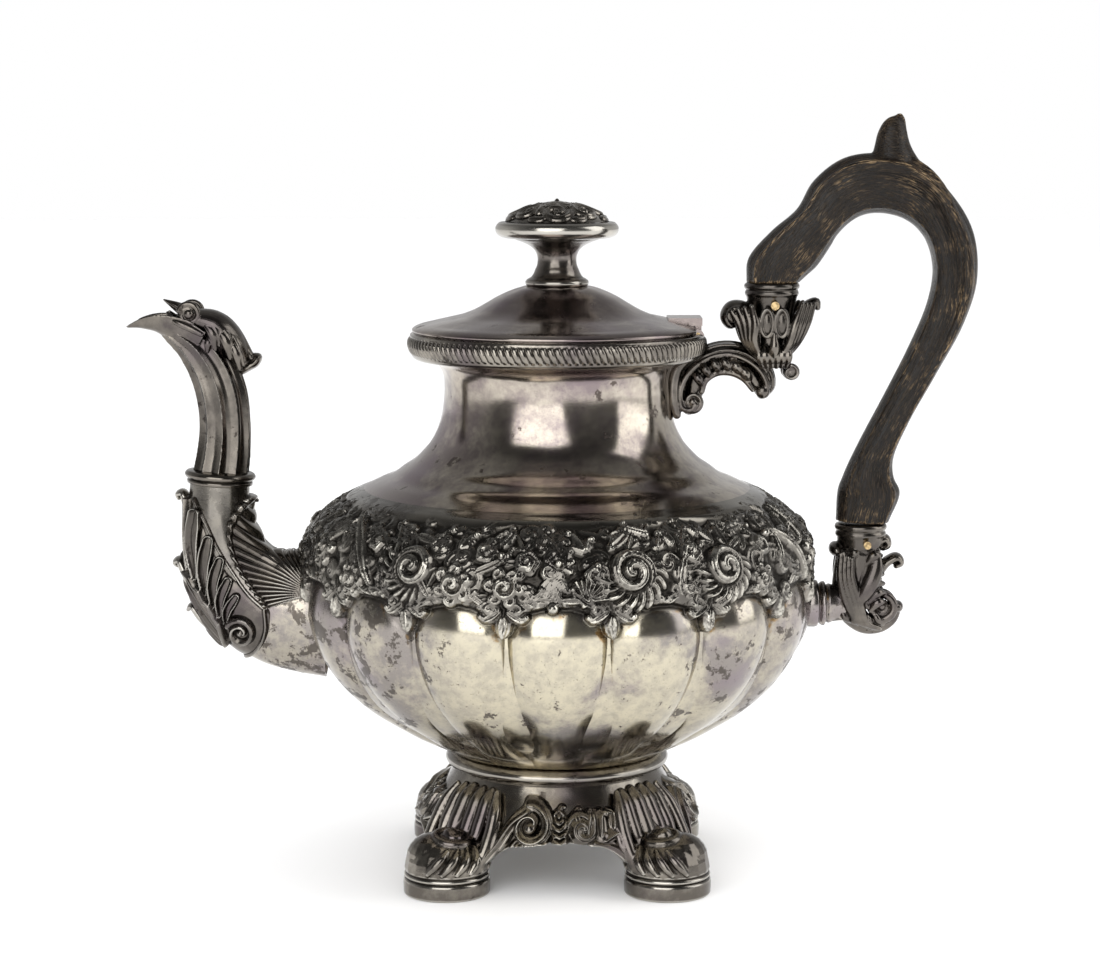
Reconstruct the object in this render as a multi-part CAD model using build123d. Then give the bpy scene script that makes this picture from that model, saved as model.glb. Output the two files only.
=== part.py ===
"""A melon-fluted silver teapot with a hinged lid, a beaked spout and a carved wooden handle.

Millimetres. +Z is up, and the origin is on the pot's axis at the level of the surface it stands on.
The spout points to -X and the handle to +X. Every piece is written to parts/NAME.step.
"""

import os
from math import cos, pi, radians, sin

from build123d import *

# ---- driving dimensions -------------------------------------------------------------------------
WALL = 1.2                    # raised silver sheet
FIT = 0.15                    # gap left between pieces that move past each other

LOBES = 16                    # melon flutes round the bowl
GROOVE_DEPTH = 4.6            # from the lobes' crests to the bowl's plain inside
BAND_Z = 92.0                 # joint between the bowl and the chased shoulder band
NECK_Z = 122.0                # joint between the shoulder band and the neck
RIM_Z = 171.0                 # top of the gadrooned rim
RIM_R = 47.0                  # widest radius of the gadroons
MOUTH_R = 43.5                # outside of the neck's upright mouth
BOWL_FLOOR_Z = 38.0           # underside of the bowl
BASE_RING_R = 34.5            # ring that joins the bowl to the foot

PAD_OFFSET = 33.5             # each foot's place along X and along Y
PAD_R = 13.4
PAD_H = 8.0
SKIRT_TOP_Z = 33.0

HINGE_X = 43.8
HINGE_Z = 170.6
HINGE_PIN_R = 0.9
KNUCKLE_R = 1.9
HINGE_HALF = 8.0              # half of the hinge's length along Y
KNUCKLE_HALF = 2.8            # half of the lid's middle knuckle
HINGE_SEAT_Z = 167.8          # floor of the gap in the rim that the hinge lies in

LID_R = 45.4
LID_Z = RIM_Z + FIT           # underside of the lid's edge
BEZEL_R = 41.6
BEZEL_DEPTH = 4.0
FINIAL_Z = 185.4              # the finial's seat on the lid's crown
STUD_R = 1.5

SPOUT_COLLAR_Z = 125.0
STUB_Z = 84.6                 # height of the lower handle joint on the bowl
UPPER_SOCKET_X = 67.2
LOWER_SOCKET_X = 96.3
UPPER_SOCKET_TOP = 187.0
LOWER_SOCKET_TOP = 110.5
TENON_R = 5.6

# Outer profile of the bowl at the crest of a lobe, as (radius, height).
BOWL = [(35.0, 40.4), (43.5, 43.2), (51.0, 46.6), (58.0, 51.0), (64.0, 56.0), (69.5, 61.5), (74.0, 67.0),
        (77.6, 73.5), (80.2, 80.5), (81.6, 87.0), (82.0, BAND_Z)]
# Outer profile of the shoulder band under its chasing.
BAND = [(81.0, BAND_Z), (81.2, 98.0), (80.6, 104.0), (78.6, 110.0), (74.4, 115.6), (68.0, 119.6), (61.0, NECK_Z)]
# Outer profile of the neck, up to where it turns into the upright mouth.
NECK = [(61.0, NECK_Z), (53.5, 125.2), (47.0, 129.0), (42.0, 133.6), (38.4, 139.0), (36.2, 145.0), (35.4, 151.0),
        (35.6, 156.0), (36.8, 160.0), (39.6, 163.0), (MOUTH_R, 165.0)]


# ---- helpers --------------------------------------------------------------------------------------
def at(point):
    """A point of a (radius, height) profile as a point in the XZ plane."""
    return (point[0], 0, point[1])


def inset(points, distance):
    """The profile moved by a distance towards its left-hand side as its points run."""
    moved = []
    for i, (r, z) in enumerate(points):
        before = points[max(i - 1, 0)]
        after = points[min(i + 1, len(points) - 1)]
        along = Vector(after[0] - before[0], after[1] - before[1]).normalized()
        moved.append((r - along.Y * distance, z + along.X * distance))
    return moved


def turned(edges):
    """The solid of revolution about Z of a closed outline in the XZ plane."""
    return revolve(make_face(edges), Axis.Z)


def turned_polygon(*points):
    """A solid of revolution about Z from straight-sided (radius, height) points."""
    return turned(Polyline(*[at(p) for p in points], close=True))


def turned_wall(points, wall, flat_low=True, flat_high=True):
    """A sheet of revolution: the spline through points, and the same spline set inwards by wall."""
    inner = inset(points, wall)
    if flat_low:
        inner[0] = (points[0][0] - wall, points[0][1])
    if flat_high:
        inner[-1] = (points[-1][0] - wall, points[-1][1])
    outside = Spline(*[at(p) for p in points])
    inside = Spline(*[at(p) for p in inner])
    ends = [Line(outside @ 0, inside @ 0), Line(outside @ 1, inside @ 1)]
    return turned([outside, inside] + ends)


def oval(centre, direction, half_height, half_width):
    """An elliptical section across a pipe that runs in the XZ plane: centre (x, z), direction (x, z)."""
    along = Vector(direction[0], 0, direction[1]).normalized()
    plane = Plane(origin=(centre[0], 0, centre[1]), x_dir=(0, 1, 0), z_dir=along)
    return plane * Ellipse(half_width, half_height)


def lofted(sections, shrink=0.0):
    """A smooth solid through oval sections (centre, direction, half height, half width)."""
    return loft([oval(c, d, h - shrink, w - shrink) for c, d, h, w in sections])


def rod_y(x, z, radius, half_length):
    """A round rod along Y."""
    return Pos(x, 0, z) * Rot(90, 0, 0) * Cylinder(radius, 2 * half_length)


def turned_about_x(points, z):
    """A solid of revolution about a horizontal axis at height z, from (radius, x) points."""
    return Pos(0, 0, z) * Rot(0, 90, 0) * turned_polygon(*points)


# ---- body -------------------------------------------------------------------------------------------
def lobe_depth(z):
    """How far the grooves between the lobes lie below their crests at a height."""
    rise = min(max((z - BOWL[0][1]) / 14.0, 0.12), 1.0)
    return 4.2 * rise


def lobed_section(crest, z):
    """One level of the bowl's outside: an arc for each lobe, meeting in sharp grooves."""
    groove = crest - lobe_depth(z)
    step = 2 * pi / LOBES
    arcs = []
    for i in range(LOBES):
        angles = [(i + part) * step for part in (-0.5, 0.0, 0.5)]
        radii = [groove, crest, groove]
        arcs.append(ThreePointArc(*[(r * cos(a), r * sin(a), z) for r, a in zip(radii, angles)]))
    return make_face(arcs)


def bowl_cavity(extra=0.0):
    """The space inside the bowl, open at the top, or the same space smaller all round by extra."""
    inside = inset(BOWL, GROOVE_DEPTH + extra)
    inside[-1] = (BAND[0][0] - GROOVE_DEPTH - extra, BAND_Z + 5)
    side = Spline(*[at(p) for p in inside])
    start, end = inside[0], inside[-1]
    close = Polyline(at(start), at((0, start[1])), at((0, end[1])), at(end))
    return turned([side, close])


def make_bowl():
    """Lower half of the body: melon lobes outside, plain inside, with the hole to the spout."""
    outside = loft([lobed_section(r, z) for r, z in BOWL])
    bottom = turned_polygon((0, BOWL_FLOOR_Z), (30, BOWL_FLOOR_Z), (34.0, BOWL[0][1]), (0, BOWL[0][1]))
    spout_hole = Pos(-78, 0, 81) * Rot(0, 90, 0) * extrude(Ellipse(12, 8), 20, both=True)
    return outside + bottom - bowl_cavity() - spout_hole


def make_shoulder_band():
    """The convex band between bowl and neck that carries the chased frieze."""
    return turned_wall(BAND, 2.4)


def make_neck():
    """The concave shoulder and neck, and the upright mouth that the lid's bezel drops into."""
    inner = inset(NECK, WALL)
    inner[0] = (NECK[0][0] - WALL, NECK[0][1])
    inner[-1] = (MOUTH_R - WALL, NECK[-1][1] + WALL)
    outside = Spline(*[at(p) for p in NECK])
    inside = Spline(*[at(p) for p in inner])
    mouth = Polyline(at(NECK[-1]), at((MOUTH_R, RIM_Z)), at((MOUTH_R - WALL, RIM_Z)), at(inner[-1]))
    foot = Line(outside @ 0, inside @ 0)
    return turned([outside, inside, mouth, foot]) - hinge_recess()


def hinge_recess():
    """The gap in the rim and mouth that the hinge lies in."""
    width = 2 * (HINGE_HALF + FIT)
    return Pos(HINGE_X + 2, 0, RIM_Z) * Box(10.6, width, 2 * (RIM_Z - HINGE_SEAT_Z))


def make_gadroon_rim():
    """The cast border soldered round the mouth, under its gadroons."""
    low, high = RIM_Z - 7.5, RIM_Z
    ring = turned([
        Line(at((MOUTH_R, low)), at((MOUTH_R, high))),
        Line(at((MOUTH_R, high)), at((RIM_R - 1.4, high))),
        ThreePointArc(at((RIM_R - 1.4, high)), at((RIM_R, (low + high) / 2)), at((RIM_R - 2.6, low))),
        Line(at((RIM_R - 2.6, low)), at((MOUTH_R, low))),
    ])
    return ring - hinge_recess()


def make_base_ring():
    """The ring between the bowl's underside and the foot."""
    low, high = SKIRT_TOP_Z, BOWL_FLOOR_Z
    return turned([
        Line(at((26.0, low)), at((BASE_RING_R - 1, low))),
        ThreePointArc(at((BASE_RING_R - 1, low)), at((BASE_RING_R, (low + high) / 2 - 0.5)), at((30.0, high))),
        Line(at((30.0, high)), at((26.0, high))),
        Line(at((26.0, high)), at((26.0, low))),
    ])


# ---- foot -------------------------------------------------------------------------------------------
CORNERS = {
    "front_handle": -45, "back_handle": 45, "back_spout": 135, "front_spout": 225,
}
PAD_RADIUS_FROM_AXIS = PAD_OFFSET * 2 ** 0.5


def leg():
    """One cast leg on +X: a domed toe on its pad and a shank up to the base ring."""
    path = [((PAD_RADIUS_FROM_AXIS - 3.0, PAD_H + 3.0), (-0.5, 1.0), 5.2, 7.0),
            ((43.0, 18.0), (-0.35, 1.0), 4.0, 6.6),
            ((39.5, 25.0), (-0.55, 1.0), 3.2, 7.6),
            ((34.4, SKIRT_TOP_Z - 0.6), (-0.6, 1.0), 2.2, 9.0)]
    shank = lofted(path)
    dome_h = 8.4
    toe = turned([
        Line(at((0, 0)), at((PAD_R - 1, 0))),
        ThreePointArc(at((PAD_R - 1, 0)), at((PAD_R * 0.66, dome_h * 0.72)), at((0, dome_h))),
        Line(at((0, dome_h)), at((0, 0))),
    ])
    whole = shank + Pos(PAD_RADIUS_FROM_AXIS, 0, PAD_H) * toe
    above = Pos(0, 0, SKIRT_TOP_Z + 10) * Box(200, 200, 20)
    return whole - above - Pos(0, 0, PAD_H - 10) * Box(200, 200, 20)


def pad():
    """A round stepped pad under one toe."""
    return turned([
        Polyline(at((0, 0)), at((PAD_R, 0)), at((PAD_R, 5.2))),
        ThreePointArc(at((PAD_R, 5.2)), at((PAD_R - 0.9, 5.8)), at((PAD_R - 0.2, 6.4))),
        Polyline(at((PAD_R - 0.2, 6.4)), at((PAD_R - 0.6, PAD_H)), at((0, PAD_H)), at((0, 0))),
    ])


def make_foot_skirt(legs):
    """The flared apron between the legs, arched on its four sides."""
    profile = [(44.5, 11.5), (42.6, 16.0), (40.0, 21.0), (37.0, 26.5), (BASE_RING_R - 1, SKIRT_TOP_Z)]
    apron = turned_wall(profile, 1.6)
    for turn in (0, 90, 180, 270):
        arch = Rot(0, 0, turn) * Pos(45, 0, 1.5) * Rot(0, 90, 0) * Cylinder(14.0, 40)
        apron -= arch
    for one in legs:
        apron -= one
    return apron


# ---- spout ------------------------------------------------------------------------------------------
LOWER_SPOUT = [((-74, 81.0), (-1, 0.05), 19.6, 13.6),
               ((-86, 82.0), (-1, 0.25), 18.8, 13.0),
               ((-98.5, 88.0), (-0.8, 0.7), 16.2, 11.8),
               ((-105.4, 99.0), (-0.28, 1), 12.8, 10.8),
               ((-107.2, 111.0), (0, 1), 10.4, 10.0),
               ((-106.7, SPOUT_COLLAR_Z), (0.06, 1), 9.3, 9.2)]
UPPER_SPOUT = [((-106.6, SPOUT_COLLAR_Z), (0.06, 1), 8.9, 8.8),
               ((-105.2, 138.0), (0.05, 1), 8.2, 8.0),
               ((-105.3, 150.0), (-0.1, 1), 7.7, 7.4),
               ((-107.6, 160.0), (-0.4, 1), 7.6, 7.0),
               ((-113.4, 168.6), (-1, 0.9), 6.6, 6.2),
               ((-122.0, 172.9), (-1, 0.15), 4.4, 4.6),
               ((-130.0, 173.0), (-1, -0.25), 2.3, 2.6)]


def make_spout_lower(body_outside):
    """The plain elbow from the body up to the collar."""
    pipe = lofted(LOWER_SPOUT) - lofted(LOWER_SPOUT, WALL)
    return pipe - body_outside


def make_spout_upper():
    """The fluted swan's neck that ends in a beak, open along the top of the beak."""
    pipe = lofted(UPPER_SPOUT)
    tip = Pos(-130.5, 0, 172.9) * Rot(0, -100, 0) * Cone(2.4, 0.5, 5)
    mouth = Pos(-125, 0, 180.0) * Rot(0, -3, 0) * Box(16, 30, 9.6)
    return pipe + tip - lofted(UPPER_SPOUT, WALL) - mouth


def make_spout_collar():
    """The rounded ring that covers the joint of the two spout castings."""
    ring = Torus(9.8, 1.5)
    return Pos(-106.7, 0, SPOUT_COLLAR_Z) * Rot(0, 4, 0) * ring - lofted(LOWER_SPOUT) - lofted(UPPER_SPOUT)


def make_spout_crest(upper_outside):
    """The cast hood and crest along the back of the beaked head."""
    path = [((-117.8, 177.6), (1, -0.05), 2.0, 1.8), ((-112.0, 176.2), (1, -0.3), 3.0, 3.6),
            ((-104.0, 171.6), (1, -0.9), 3.0, 3.8), ((-99.3, 165.0), (0.5, -1), 2.2, 3.0),
            ((-96.2, 161.2), (1, -0.6), 1.4, 2.2)]
    return lofted(path) - upper_outside


def make_spout_leaves():
    """The two applied leaves: acanthus over the outside of the elbow, a fan over its inside."""
    sections = LOWER_SPOUT[1:5]
    sleeve = lofted([(c, d, 1.08 * h, w + 1.3) for c, d, h, w in sections]) - lofted(LOWER_SPOUT)
    bend_x, bend_z = -87.0, 104.0
    above_bend = Pos(bend_x + 5, 0, bend_z + 18) * Box(46, 60, 36)
    acanthus = sleeve - rod_y(bend_x, bend_z, 19.6, 30) - above_bend
    fan = sleeve & rod_y(bend_x, bend_z, 17.4, 30)
    return acanthus, fan


def make_spout_strainer():
    """The pierced plate soldered against the inside of the bowl over the spout's hole."""
    plate = bowl_cavity() - bowl_cavity(1.0)
    plate = plate & (Pos(-74, 0, 79.5) * Rot(0, 90, 0) * extrude(Ellipse(11.8, 10), 20, both=True))
    pitch = 4.4
    holes = [(row, column) for row in (-1, 0, 1) for column in (-1, 0, 1)]
    holes += [(row, column) for row in (-1.5, -0.5, 0.5, 1.5) for column in (-0.5, 0.5)]
    for row, column in holes:
        plate -= Pos(-74, column * pitch, 79.5 + row * pitch) * Rot(0, 90, 0) * Cylinder(1.1, 40)
    return plate


# ---- handle -----------------------------------------------------------------------------------------
WOOD = [((67.6, UPPER_SOCKET_TOP), (0.1, 1), 8.2, 7.4),
        ((70.0, 193.0), (0.45, 1), 9.6, 8.2),
        ((75.2, 200.6), (0.7, 1), 8.6, 7.8),
        ((80.8, 208.2), (0.65, 1), 7.6, 7.4),
        ((86.6, 214.6), (0.9, 0.75), 8.2, 7.6),
        ((94.8, 217.6), (1, 0.12), 9.0, 7.8),
        ((104.0, 216.6), (1, -0.25), 8.8, 7.6),
        ((112.4, 211.8), (1, -0.75), 8.1, 7.2),
        ((120.0, 204.0), (0.6, -1), 7.6, 7.0),
        ((124.6, 195.0), (0.15, -1), 7.2, 6.8),
        ((124.4, 185.6), (-0.2, -1), 7.0, 6.8),
        ((121.4, 175.4), (-0.36, -1), 6.7, 6.6),
        ((115.8, 162.6), (-0.5, -1), 6.5, 6.5),
        ((109.2, 150.2), (-0.52, -1), 6.5, 6.5),
        ((103.0, 138.0), (-0.48, -1), 6.7, 6.6),
        ((99.2, 129.0), (-0.3, -1), 7.3, 7.0),
        ((98.0, 121.6), (-0.14, -1), 9.6, 7.6),
        ((97.2, 115.4), (-0.1, -1), 9.4, 7.6),
        ((LOWER_SOCKET_X + 0.2, LOWER_SOCKET_TOP), (-0.05, -1), 8.0, 7.2)]


def make_wood_handle():
    """The carved wooden handle with its thumb spur and a round tenon at each end."""
    body = lofted(WOOD)
    spur = lofted([((106.0, 216.0), (-0.2, 1), 7.6, 5.6), ((104.6, 226.0), (-0.05, 1), 5.6, 3.8),
                   ((104.8, 233.0), (0.1, 1), 3.8, 2.6), ((106.6, 238.2), (0.3, 1), 1.9, 1.5)])
    upper_tenon = Pos(UPPER_SOCKET_X, 0, UPPER_SOCKET_TOP - 7) * Cylinder(TENON_R, 16)
    lower_tenon = Pos(LOWER_SOCKET_X, 0, LOWER_SOCKET_TOP - 5) * Cylinder(TENON_R, 14)
    upper_trim = Pos(UPPER_SOCKET_X, 0, UPPER_SOCKET_TOP - 10) * (Cylinder(30, 20) - Cylinder(TENON_R, 30))
    lower_keep = Pos(LOWER_SOCKET_X, 0, LOWER_SOCKET_TOP - 10) * (Cylinder(20, 20) - Cylinder(TENON_R, 30))
    whole = body + spur + upper_tenon + lower_tenon
    whole = whole - upper_trim - lower_keep
    return whole - upper_pin() - lower_pin()


def upper_pin():
    """The cross pin through the upper socket and tenon."""
    return rod_y(UPPER_SOCKET_X + 0.6, 179.8, 1.3, 9.3)


def lower_pin():
    """The cross pin through the lower socket and tenon."""
    return rod_y(LOWER_SOCKET_X + 1.4, 104.4, 1.2, 8.6)


def socket_cup(x, top, depth, mouth_r, foot_r, ring_h):
    """A turned cup with a ring at its mouth, bored for a tenon."""
    low = top - depth
    return Pos(x, 0, 0) * turned_polygon(
        (TENON_R, top), (mouth_r, top), (mouth_r + 0.4, top - ring_h / 2), (mouth_r, top - ring_h),
        (mouth_r - 0.9, top - ring_h - 0.6), (mouth_r - 0.4, top - depth * 0.42), (foot_r, low + 3.0),
        (foot_r - 1.0, low), (0, low), (0, low + 8.0), (TENON_R, low + 8.0))


def make_upper_socket():
    """The leaf cup that holds the top of the wooden handle, with the two leaf scrolls beside it."""
    cup = socket_cup(UPPER_SOCKET_X, UPPER_SOCKET_TOP, 23.5, 8.8, 5.4, 3.0)
    curl = lofted([((61.0, 168.0), (-0.3, 1), 2.2, 4.0), ((58.4, 175.0), (-0.4, 1), 2.4, 4.6),
                   ((55.6, 178.4), (-1, 0.3), 2.0, 4.0), ((53.4, 176.4), (-0.2, -1), 1.3, 3.2)])
    tip = lofted([((73.0, 166.0), (0.3, 1), 2.2, 4.0), ((76.6, 174.0), (0.35, 1), 2.2, 4.4),
                  ((79.6, 179.0), (0.8, 0.8), 1.6, 3.4)])
    whole = cup + curl + tip
    tenon_bore = Pos(UPPER_SOCKET_X, 0, UPPER_SOCKET_TOP - 7) * Cylinder(TENON_R, 16)
    return whole - tenon_bore - upper_pin()


def make_upper_scroll(others):
    """The C-scroll bracket from the neck to the upper socket, cut to fit against the others."""
    arch = lofted([((41.0, 147.0), (-1, 0.6), 2.6, 4.4), ((38.9, 152.6), (0.1, 1), 3.0, 4.6),
                   ((42.0, 160.0), (0.7, 1), 3.6, 4.8), ((50.0, 165.4), (1, 0.3), 3.9, 5.0),
                   ((58.6, 165.2), (1, -0.3), 3.9, 5.0), ((65.6, 160.4), (0.6, -1), 3.7, 4.8),
                   ((66.6, 154.6), (-0.3, -1), 2.9, 4.4)])
    volutes = rod_y(41.6, 148.6, 3.6, 4.6) + rod_y(64.2, 153.6, 3.4, 4.6)
    bracket = arch + volutes
    for other in others:
        bracket -= other
    return max(bracket.solids(), key=lambda solid: solid.volume)


def make_lower_socket():
    """The leaf casting that holds the bottom of the wooden handle and ends in a scroll."""
    cup = socket_cup(LOWER_SOCKET_X, LOWER_SOCKET_TOP, 18.0, 8.3, 6.6, 3.0)
    tail = lofted([((95.6, 98.0), (-0.2, -1), 7.2, 6.0), ((93.8, 90.0), (-0.2, -1), 6.6, 5.8),
                   ((94.0, 82.6), (0.2, -1), 5.8, 5.2), ((98.4, 77.6), (1, -0.5), 3.8, 4.6),
                   ((104.2, 78.0), (1, 0.5), 2.6, 4.0), ((107.4, 81.8), (0.4, 1), 1.8, 3.2)])
    leaf = lofted([((99.0, 92.0), (0.5, 1), 2.6, 3.8), ((103.2, 97.4), (1, 0.9), 2.2, 3.6),
                   ((107.2, 98.6), (1, -0.1), 1.6, 2.8)])
    whole = cup + tail + leaf
    bore = Pos(LOWER_SOCKET_X, 0, LOWER_SOCKET_TOP - 5) * Cylinder(TENON_R, 14)
    return whole - bore - lower_pin()


def make_lower_stub(bowl_outside, socket):
    """The ringed spigot that joins the lower socket to the bowl."""
    spigot = turned_about_x([(0, 76), (7.2, 76), (7.2, 82.4), (5.8, 83.2), (6.6, 84.6), (5.8, 86.0),
                             (5.4, 92), (0, 92)], STUB_Z)
    return spigot - bowl_outside - socket


# ---- hinge and lid ----------------------------------------------------------------------------------
def make_hinge_body_leaf():
    """The two outer knuckles on their plate, soldered into the gap in the rim."""
    low, high = HINGE_SEAT_Z, HINGE_SEAT_Z + 1.6
    leaf = Pos(HINGE_X, 0, (low + high) / 2) * Box(3.4, 2 * HINGE_HALF, high - low)
    leaf += rod_y(HINGE_X, HINGE_Z, KNUCKLE_R, HINGE_HALF)
    leaf -= rod_y(HINGE_X, HINGE_Z, KNUCKLE_R + FIT, KNUCKLE_HALF + FIT)
    return leaf - rod_y(HINGE_X, HINGE_Z, HINGE_PIN_R, HINGE_HALF + 1)


def make_hinge_pin():
    """The brass pin, held by the outer knuckles."""
    return rod_y(HINGE_X, HINGE_Z, HINGE_PIN_R, HINGE_HALF + 0.1)


def make_hinge_lid_leaf():
    """The middle knuckle and the plate over it that is soldered to the lid."""
    knuckle = Pos(HINGE_X, 0, HINGE_Z) * Rot(90, 0, 0) * Cylinder(KNUCKLE_R, 2 * KNUCKLE_HALF)
    riser = Pos(HINGE_X, 0, HINGE_Z + 2.2) * Box(3.0, 2 * KNUCKLE_HALF, 3.2)
    plate = Pos(HINGE_X - 3.8, 0, HINGE_Z + 4.1) * Box(10.6, 2 * HINGE_HALF - 1, 2.4)
    bore = rod_y(HINGE_X, HINGE_Z, HINGE_PIN_R + 0.05, HINGE_HALF)
    return knuckle + riser + plate - bore


def make_lid_dome(hinge_leaf):
    """The ogee lid with its rolled edge."""
    profile = [(LID_R, LID_Z + 0.9), (41.5, 174.2), (36.0, 175.5), (30.0, 176.6), (25.5, 178.4), (21.6, 180.8),
               (17.0, 183.4), (12.0, 185.0), (6.0, FINIAL_Z), (2.2, FINIAL_Z)]
    under = inset(profile, -WALL)
    under = [(r, 2 * z_out - z_in) for (r, z_in), (_, z_out) in zip(under, profile)]
    under[0] = (BEZEL_R + 1.0, LID_Z)
    under[-1] = (2.2, FINIAL_Z - WALL)
    outside = Spline(*[at(p) for p in profile])
    inside = Spline(*[at(p) for p in under])
    edge = Polyline(outside @ 0, at((LID_R, LID_Z)), inside @ 0)
    bore = Line(outside @ 1, inside @ 1)
    dome = turned([outside, inside, edge, bore])
    knuckle_gap = Pos(HINGE_X + 2.6, 0, LID_Z) * Box(10, 2 * HINGE_HALF + 1, 10)
    swing_relief = Pos(HINGE_X + 4.4, 0, LID_Z) * Box(10, 2 * HINGE_HALF + 14, 10)
    return dome - knuckle_gap - swing_relief - hinge_leaf


def make_lid_bezel():
    """The inner flange that keeps the closed lid centred in the mouth."""
    top = LID_Z + 1.6
    low = LID_Z - BEZEL_DEPTH
    return turned_polygon((BEZEL_R - 1.0, low), (BEZEL_R, low), (BEZEL_R, top), (BEZEL_R - 1.0, top))


def make_finial_stem():
    """The waisted stem between lid and button, bored for the stud."""
    base = FINIAL_Z
    waist = Spline(at((9.0, base + 1.8)), at((6.4, base + 4.6)), at((5.8, base + 8.0)), at((6.8, base + 12.0)),
                   at((9.6, base + 15.2)), at((14.0, base + 17.2)))
    foot = Polyline(at((STUD_R, base)), at((9.6, base)), at((9.6, base + 1.2)), at((9.0, base + 1.8)))
    head = Polyline(at((14.0, base + 17.2)), at((14.0, base + 17.8)), at((STUD_R, base + 17.8)), at((STUD_R, base)))
    return turned([foot, waist, head])


def make_finial_button():
    """The chased mushroom button."""
    base = FINIAL_Z + 17.8
    top = 212.4
    dome = Spline(at((19.4, base + 1.8)), at((17.0, base + 4.4)), at((11.0, base + 7.6)), at((6.0, top - 0.6)))
    under = Polyline(at((STUD_R, base)), at((17.2, base)))
    roll = ThreePointArc(at((17.2, base)), at((19.0, base + 0.5)), at((19.4, base + 1.8)))
    cap = Polyline(at((6.0, top - 0.6)), at((6.0, top)), at((0, top)), at((0, base + 4)), at((STUD_R, base + 4)),
                   at((STUD_R, base)))
    return turned([under, roll, dome, cap])


def make_finial_fixings():
    """The threaded stud, and the washer and nut under the lid."""
    under = FINIAL_Z - WALL
    stud = Pos(0, 0, (under - 4.5 + FINIAL_Z + 21.8) / 2) * Cylinder(STUD_R, FINIAL_Z + 21.8 - under + 4.5)
    washer = Pos(0, 0, under - 0.55) * (Cylinder(4.6, 1.0) - Cylinder(STUD_R, 3))
    hexagon = extrude(RegularPolygon(3.4, 6), 2.6)
    nut = Pos(0, 0, under - 3.65) * hexagon - Cylinder(STUD_R, 400)
    return stud, washer, nut


# ---- build ------------------------------------------------------------------------------------------
def filled(points, low, high):
    """The solid inside a spline profile of revolution, for cutting neighbours to its surface."""
    side = Spline(*[at(p) for p in points])
    return turned([side, Polyline(side @ 0, at((0, low)), at((0, high)), side @ 1)])


def build():
    """Every piece of the teapot by node name."""
    bowl_solid = loft([lobed_section(r, z) for r, z in BOWL])
    band_solid = filled(BAND, BAND_Z, NECK_Z)
    neck_solid = filled(NECK, NECK[0][1], NECK[-1][1])
    rim_solid = Pos(0, 0, RIM_Z - 3) * Cylinder(RIM_R + 0.1, 12)
    parts = {
        "bowl": make_bowl(),
        "shoulder_band": make_shoulder_band(),
        "neck": make_neck(),
        "gadroon_rim": make_gadroon_rim(),
        "base_ring": make_base_ring(),
    }
    legs = []
    for corner, turn in CORNERS.items():
        one = Rot(0, 0, turn) * leg()
        legs.append(one)
        parts["leg_" + corner] = one
        parts["foot_pad_" + corner] = Rot(0, 0, turn) * Pos(PAD_RADIUS_FROM_AXIS, 0, 0) * pad()
    parts["foot_skirt"] = make_foot_skirt(legs)

    upper_solid = lofted(UPPER_SPOUT)
    parts["spout_lower"] = make_spout_lower(bowl_solid + band_solid)
    parts["spout_upper"] = make_spout_upper()
    parts["spout_collar"] = make_spout_collar()
    parts["spout_crest"] = make_spout_crest(upper_solid)
    parts["spout_acanthus"], parts["spout_fan_leaf"] = make_spout_leaves()
    parts["spout_strainer"] = make_spout_strainer()

    upper_socket = make_upper_socket()
    lower_socket = make_lower_socket()
    parts["upper_handle_socket"] = upper_socket
    parts["upper_scroll_bracket"] = make_upper_scroll([neck_solid, rim_solid, upper_socket])
    parts["lower_handle_socket"] = lower_socket
    parts["lower_handle_stub"] = make_lower_stub(bowl_solid, lower_socket)
    parts["wood_handle"] = make_wood_handle()
    parts["upper_handle_pin"] = upper_pin()
    parts["lower_handle_pin"] = lower_pin()

    parts["hinge_body_leaf"] = make_hinge_body_leaf()
    parts["hinge_pin"] = make_hinge_pin()
    parts["hinge_lid_leaf"] = make_hinge_lid_leaf()
    parts["lid_dome"] = make_lid_dome(parts["hinge_lid_leaf"])
    parts["lid_bezel"] = make_lid_bezel()
    parts["finial_stem"] = make_finial_stem()
    parts["finial_button"] = make_finial_button()
    parts["finial_stud"], parts["finial_washer"], parts["finial_nut"] = make_finial_fixings()
    return parts


os.makedirs("parts", exist_ok=True)
for name, shape in build().items():
    export_step(shape, f"parts/{name}.step")
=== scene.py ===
from math import cos, degrees, pi, radians, sin, sqrt, tau

import bpy
import numpy as np
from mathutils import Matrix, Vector


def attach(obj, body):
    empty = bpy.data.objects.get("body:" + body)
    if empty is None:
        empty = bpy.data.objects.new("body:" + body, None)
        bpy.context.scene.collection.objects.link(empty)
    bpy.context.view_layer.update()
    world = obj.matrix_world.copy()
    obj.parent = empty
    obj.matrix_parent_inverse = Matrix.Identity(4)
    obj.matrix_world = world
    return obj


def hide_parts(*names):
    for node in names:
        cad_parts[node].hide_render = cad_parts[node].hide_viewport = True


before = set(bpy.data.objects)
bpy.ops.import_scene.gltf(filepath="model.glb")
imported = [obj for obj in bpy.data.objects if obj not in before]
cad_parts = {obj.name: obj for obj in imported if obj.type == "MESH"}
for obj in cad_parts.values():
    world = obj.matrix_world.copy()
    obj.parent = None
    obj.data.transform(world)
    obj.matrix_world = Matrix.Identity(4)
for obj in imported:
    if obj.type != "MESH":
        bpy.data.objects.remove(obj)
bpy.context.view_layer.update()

MM = 0.001


# ---- curves ---------------------------------------------------------------------------------------
def lengths(path):
    """The running length at each point of a path."""
    return np.concatenate([[0], np.cumsum(np.linalg.norm(np.diff(path, axis=0), axis=1))])


def unit(vectors, tiny=0.0):
    """Vectors brought to length 1; tiny keeps a vector of no length finite."""
    return vectors / (np.linalg.norm(vectors, axis=-1, keepdims=True) + tiny)


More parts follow.
